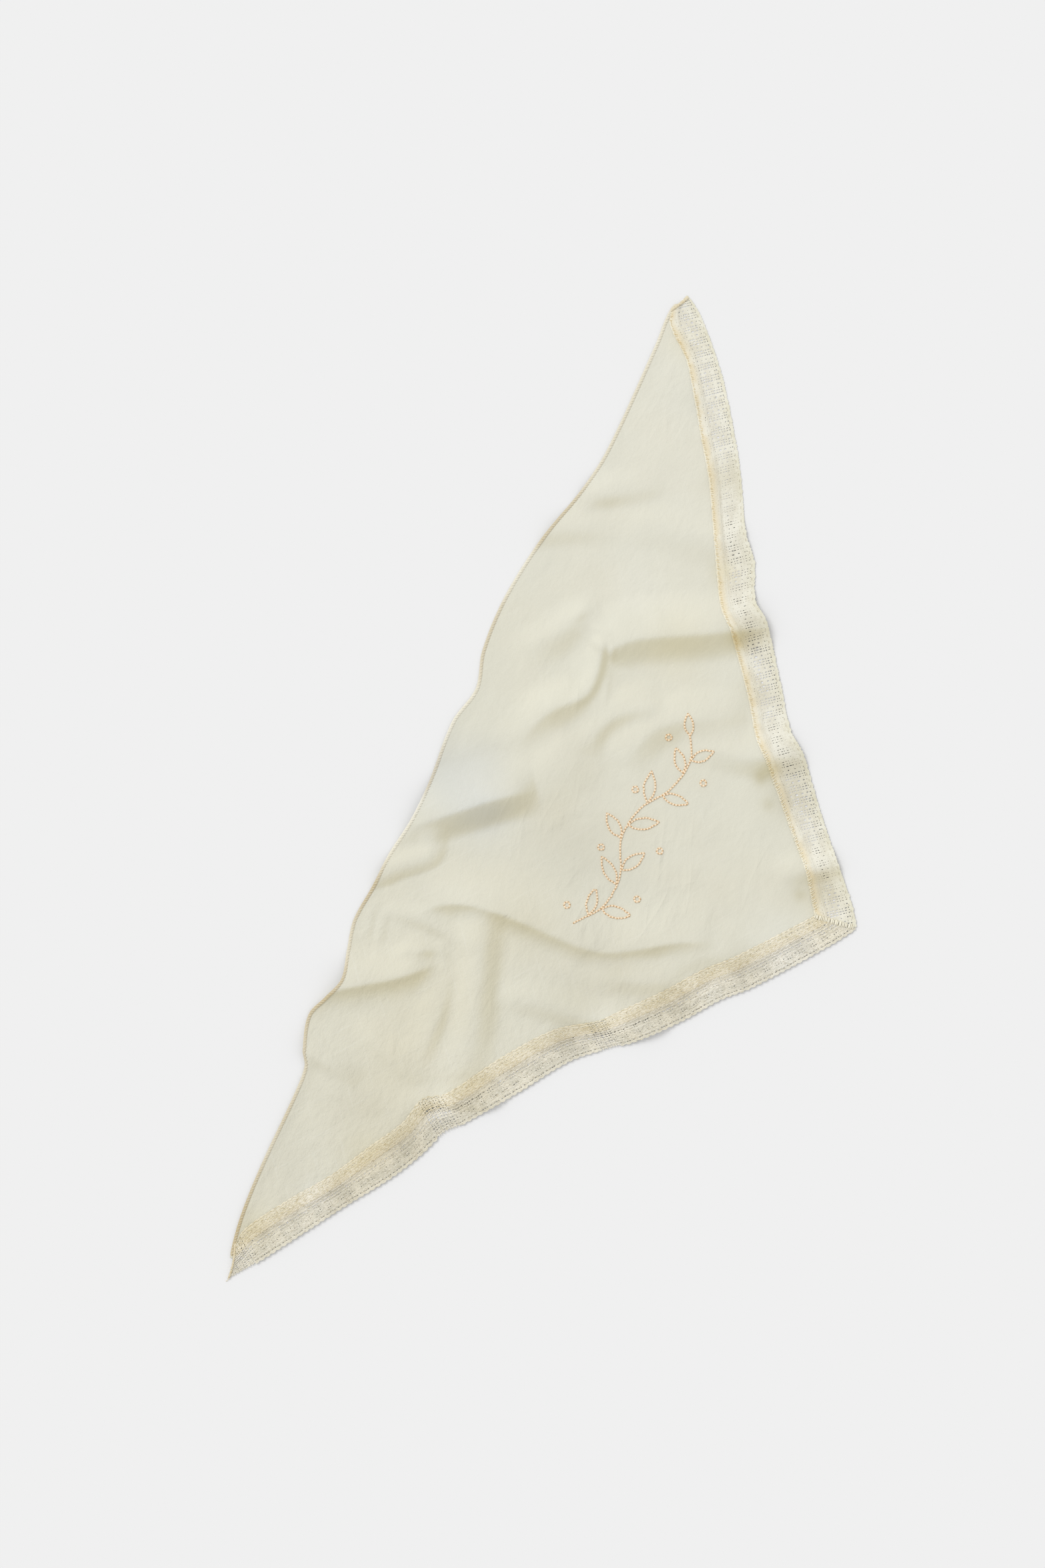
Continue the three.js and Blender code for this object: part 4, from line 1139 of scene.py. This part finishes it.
def seam_stitches(name, side, spans, pitch, slant, width, seed, start=0.0, **finish):
    """Slanting stitches that hold the heading of the lace to the cloth. Each spans two distances across it,
    and they begin so far along it."""
    rng = np.random.default_rng(seed)
    start = max(start, side.tip_lean + 4)
    along = spaced(start, side.length + side.point_lean - 3, pitch, rng, stray=0.15 * pitch)
    inner = spans[1] + SEAM_STRAY * rng.standard_normal(len(along))
    outer = spans[0] + SEAM_STRAY * rng.standard_normal(len(along))
    return stitches(name, on_lace(side, along + slant / 2, inner), on_lace(side, along - slant / 2, outer),
                    width=width, height=0.4, bulge=0.2, slot="stitching", **finish)


def mitre_stitches():
    """Stitches across the slanting seam where the two strips meet at the point."""
    rng = np.random.default_rng(31)
    across = spaced(0.8, LACE_WIDTH - 0.4, MITRE_PITCH, rng)
    ends = []
    for side, shift in ((left_side, 0.0), (right_side, 0.6)):
        share = across / LACE_WIDTH
        along = side.length + side.point_lean * share - END_REACH
        ends.append(on_lace(side, along, np.clip(across + shift, 0, LACE_WIDTH)))
    return stitches("mitre_stitches", *ends, width=0.95, height=0.5, bulge=0.8, slot="stitching",
                    material=pale_thread)


def tip_stitches(name, side, seed, **finish):
    """Whip stitches over the cut end of a strip, at the tip of the long edge."""
    rng = np.random.default_rng(seed)
    across = spaced(1.0, LACE_WIDTH - 0.5, TIP_PITCH, rng)
    along = side.tip_lean * across / LACE_WIDTH
    starts = on_lace(side, along + 0.1, across)
    ends = on_lace(side, along + END_REACH, across + 0.5)
    return stitches(name, starts, ends, width=1.0, height=0.5, bulge=0.4, slot="stitching", **finish)


# ---- The stitched sprig ----

STEM = [(352, -122), (372, -137), (398, -139), (424, -128), (450, -131), (474, -146), (500, -150),
        (516, -142)]
# Leaves on the stem: the share of the way along it, the turn from its direction in degrees, length, width.
LEAVES = rows(
    "share turn length width",
    (0.07, 52, 21, 8), (0.13, -50, 23, 9), (0.25, 50, 24, 9), (0.31, -52, 22, 9), (0.43, 48, 22, 9),
    (0.49, -54, 24, 9), (0.61, 52, 24, 9), (0.67, -48, 21, 8), (0.79, 50, 20, 8), (0.85, -50, 19, 8),
    (0.995, 4, 17, 7),
)
# Along a leaf of length 1 and out from its middle line, for a width of 1.
LEAF_OUTLINE = [(0.04, 0.02), (0.28, 0.4), (0.6, 0.46), (0.86, 0.2), (1, 0), (0.86, -0.2), (0.6, -0.46),
                (0.28, -0.4), (0.04, -0.02)]
BERRIES = [(362, -112), (412, -117), (388, -158), (428, -158), (462, -122), (488, -166), (508, -128)]
BERRY_RADIUS = 2.4
SPRIG_PITCH = 2.3  # from one stitch to the next
SPRIG_GAP = 0.06  # the share of a stitch's pitch that is left free at each of its ends
DOT_REACH = 0.55  # how far a dot runs to each side of the line


def sprig_lines():
    """The stem, the outline of each leaf and the ring of each berry."""
    stem = through(STEM, 12)
    lines = [stem]
    for share, turn, length, width in zip(*LEAVES.values()):
        at = share * (len(stem) - 1)
        i = min(int(at), len(stem) - 2)
        foot = stem[i] + (at - i) * (stem[i + 1] - stem[i])
        ahead = stem[i + 1] - stem[i]
        angle = math.atan2(ahead[1], ahead[0]) + math.radians(turn)
        ahead = np.array([math.cos(angle), math.sin(angle)])
        aside = np.array([-ahead[1], ahead[0]])
        outline = np.array(LEAF_OUTLINE)
        lines.append(through(foot + outline[:, :1] * length * ahead + outline[:, 1:] * width * aside, 6))
    angle = np.linspace(0, 2 * np.pi, 13)[:, None]
    ring = BERRY_RADIUS * np.hstack([np.cos(angle), np.sin(angle)])
    return lines + [middle + ring for middle in BERRIES]


def on_cloth(places):
    """Places on top of the cloth."""
    height = relief(*places.T) + waves(*places.T) + CLOTH_THICKNESS + 0.3
    return np.column_stack([places, height])


def sprig_pieces():
    """Back stitches along the drawn lines, with a small dot of darker thread in each gap."""
    rng = np.random.default_rng(8)
    marks = [evenly(line, SPRIG_PITCH) for line in sprig_lines()]
    starts = np.vstack([line[:-1] for line in marks])
    ends = np.vstack([line[1:] for line in marks])
    run = ends - starts
    sway = 0.12 * rng.standard_normal(starts.shape)
    gap = SPRIG_GAP * run
    long_stitches = stitches(
        "sprig_stitches", on_cloth(starts + gap + sway), on_cloth(ends - gap + sway),
        width=1.5, height=0.6, bulge=0.2, slot="stitching", material=peach_thread,
    )
    aside = DOT_REACH * sideways(run)[:, :2]
    dots = stitches(
        "sprig_dots", on_cloth(starts - aside + sway), on_cloth(starts + aside + sway),
        width=0.75, height=0.6, bulge=0.25, slot="stitching", material=amber_thread,
    )
    return long_stitches, dots


# ---- Loose threads ----

TIP_THREAD = [(4, -1, 1.4), (1.5, -1.5, 1.1), (-1, -0.5, 0.6), (-2.5, 0.2, 0.4)]
LACE_THREAD = [(517, -194, 4), (521, -197, 3), (525, -200, 1.2), (528, -202, 0.5)]
LOOSE_RADIUS = 0.17


def loose_thread(name, places, material):
    line = evenly(through(places, 8), 0.6)
    return ropes(name, [line], (LOOSE_RADIUS, LOOSE_RADIUS), sides=6, slot="stitching", material=material)


# ---- Build the kerchief ----

cloth = cloth_piece()
hem = hem_piece()
lace_left = lace_piece("lace_left_strip", left_side, LEFT_ROWS, column(LEFT_OPENNESS, "open"), seed=11,
                       material=lace_yellow)
lace_right = lace_piece("lace_right_strip", right_side, RIGHT_ROWS, column(RIGHT_OPENNESS, "open"), seed=12,
                        material=lace_white)

hem_whips = hem_stitches()
heading_right = seam_stitches("heading_stitches_right", right_side, spans=(24.4, 26.2), pitch=1.35,
                              slant=-0.9, width=0.45, seed=21, material=tan_thread)
ticks_right = seam_stitches("heading_ticks_right", right_side, spans=(23.4, 27.2), pitch=2.3, slant=1.3,
                            width=0.75, seed=23, start=345.0, material=pale_thread)
cords_body = lace_cords("lace_left_cords", left_side, BODY_CORDS, seed=22, material=cord_thread)
cords_heading = lace_cords("lace_left_heading", left_side, HEADING_CORDS, seed=24, material=gold_thread)
sprig_long, sprig_dots = sprig_pieces()
mitre = mitre_stitches()
tip_left = tip_stitches("tip_stitches_left", left_side, seed=32, brown=0.15, material=seam_thread)
tip_right = tip_stitches("tip_stitches_right", right_side, seed=33, material=seam_thread)
tip_thread = loose_thread("loose_thread_tip", TIP_THREAD, material=seam_thread)
lace_thread = loose_thread("loose_thread_lace", LACE_THREAD, material=tan_thread)

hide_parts("cloth")
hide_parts("lace_left")
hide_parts("lace_right")

# ---- Room ----

# In metres.
FLOOR_COLOUR = linear(240, 240, 240)
FLOOR_SIZE = 12.0
FLOOR_HEIGHT = -0.0001  # just under the lowest thread
AMBIENT = 0.72  # of the light on a level surface, the share that comes from all round
KEY_SPREAD = math.radians(35)  # how broad the key light looks from the kerchief
VIEW_HEIGHT = 1.176  # how much of the surface is seen, up the picture
VIEW_MIDDLE = (0.0229, 0.1002)
VIEW_TURN = math.radians(-64.94)  # the long edge runs up the picture
LENS = 85.0  # in millimetres, as is the sensor
SENSOR = 36.0


def make_floor():
    bpy.ops.mesh.primitive_plane_add(size=FLOOR_SIZE, location=(0, 0, FLOOR_HEIGHT))
    floor = bpy.context.object
    floor.name = "floor"
    material, nodes = new_material("floor_paint")
    nodes.output(nodes("ShaderNodeBsdfDiffuse", {"Color": FLOOR_COLOUR}))
    floor.data.materials.append(material)


def make_world():
    """Even light from all round, and the floor's colour wherever the surroundings themselves are seen."""
    world = bpy.data.worlds.new("studio")
    world.use_nodes = True
    bpy.context.scene.world = world
    nodes = Nodes(world.node_tree)
    path = nodes.tree.nodes.new("ShaderNodeLightPath").outputs
    seen = nodes.math("MAXIMUM", path["Is Camera Ray"],
                      nodes.math("MAXIMUM", path["Is Glossy Ray"], path["Is Transmission Ray"]))
    light = nodes("ShaderNodeBackground", {"Color": (1, 1, 1, 1), "Strength": AMBIENT})
    backdrop = nodes("ShaderNodeBackground", {"Color": FLOOR_COLOUR, "Strength": 1.0})
    shader = nodes("ShaderNodeMixShader", {0: seen, 1: light, 2: backdrop})
    nodes.output(shader, "ShaderNodeOutputWorld")


def make_key_light():
    lamp = bpy.data.lights.new("key", "SUN")
    lamp.angle = KEY_SPREAD
    towards = Vector(KEY_FROM).normalized()
    lamp.energy = (1 - AMBIENT) * math.pi / towards.z
    key = bpy.data.objects.new("key", lamp)
    key.rotation_euler = towards.to_track_quat("Z", "Y").to_euler()
    bpy.context.scene.collection.objects.link(key)


def make_camera():
    camera = bpy.data.objects.new("camera", bpy.data.cameras.new("camera"))
    camera.data.lens = LENS
    camera.data.sensor_width = SENSOR
    camera.location = (*VIEW_MIDDLE, VIEW_HEIGHT * LENS / SENSOR)
    camera.rotation_euler = (0, 0, VIEW_TURN)
    bpy.context.scene.collection.objects.link(camera)
    bpy.context.scene.camera = camera


make_floor()
make_world()
make_key_light()
make_camera()
bpy.context.scene.view_settings.view_transform = "Standard"
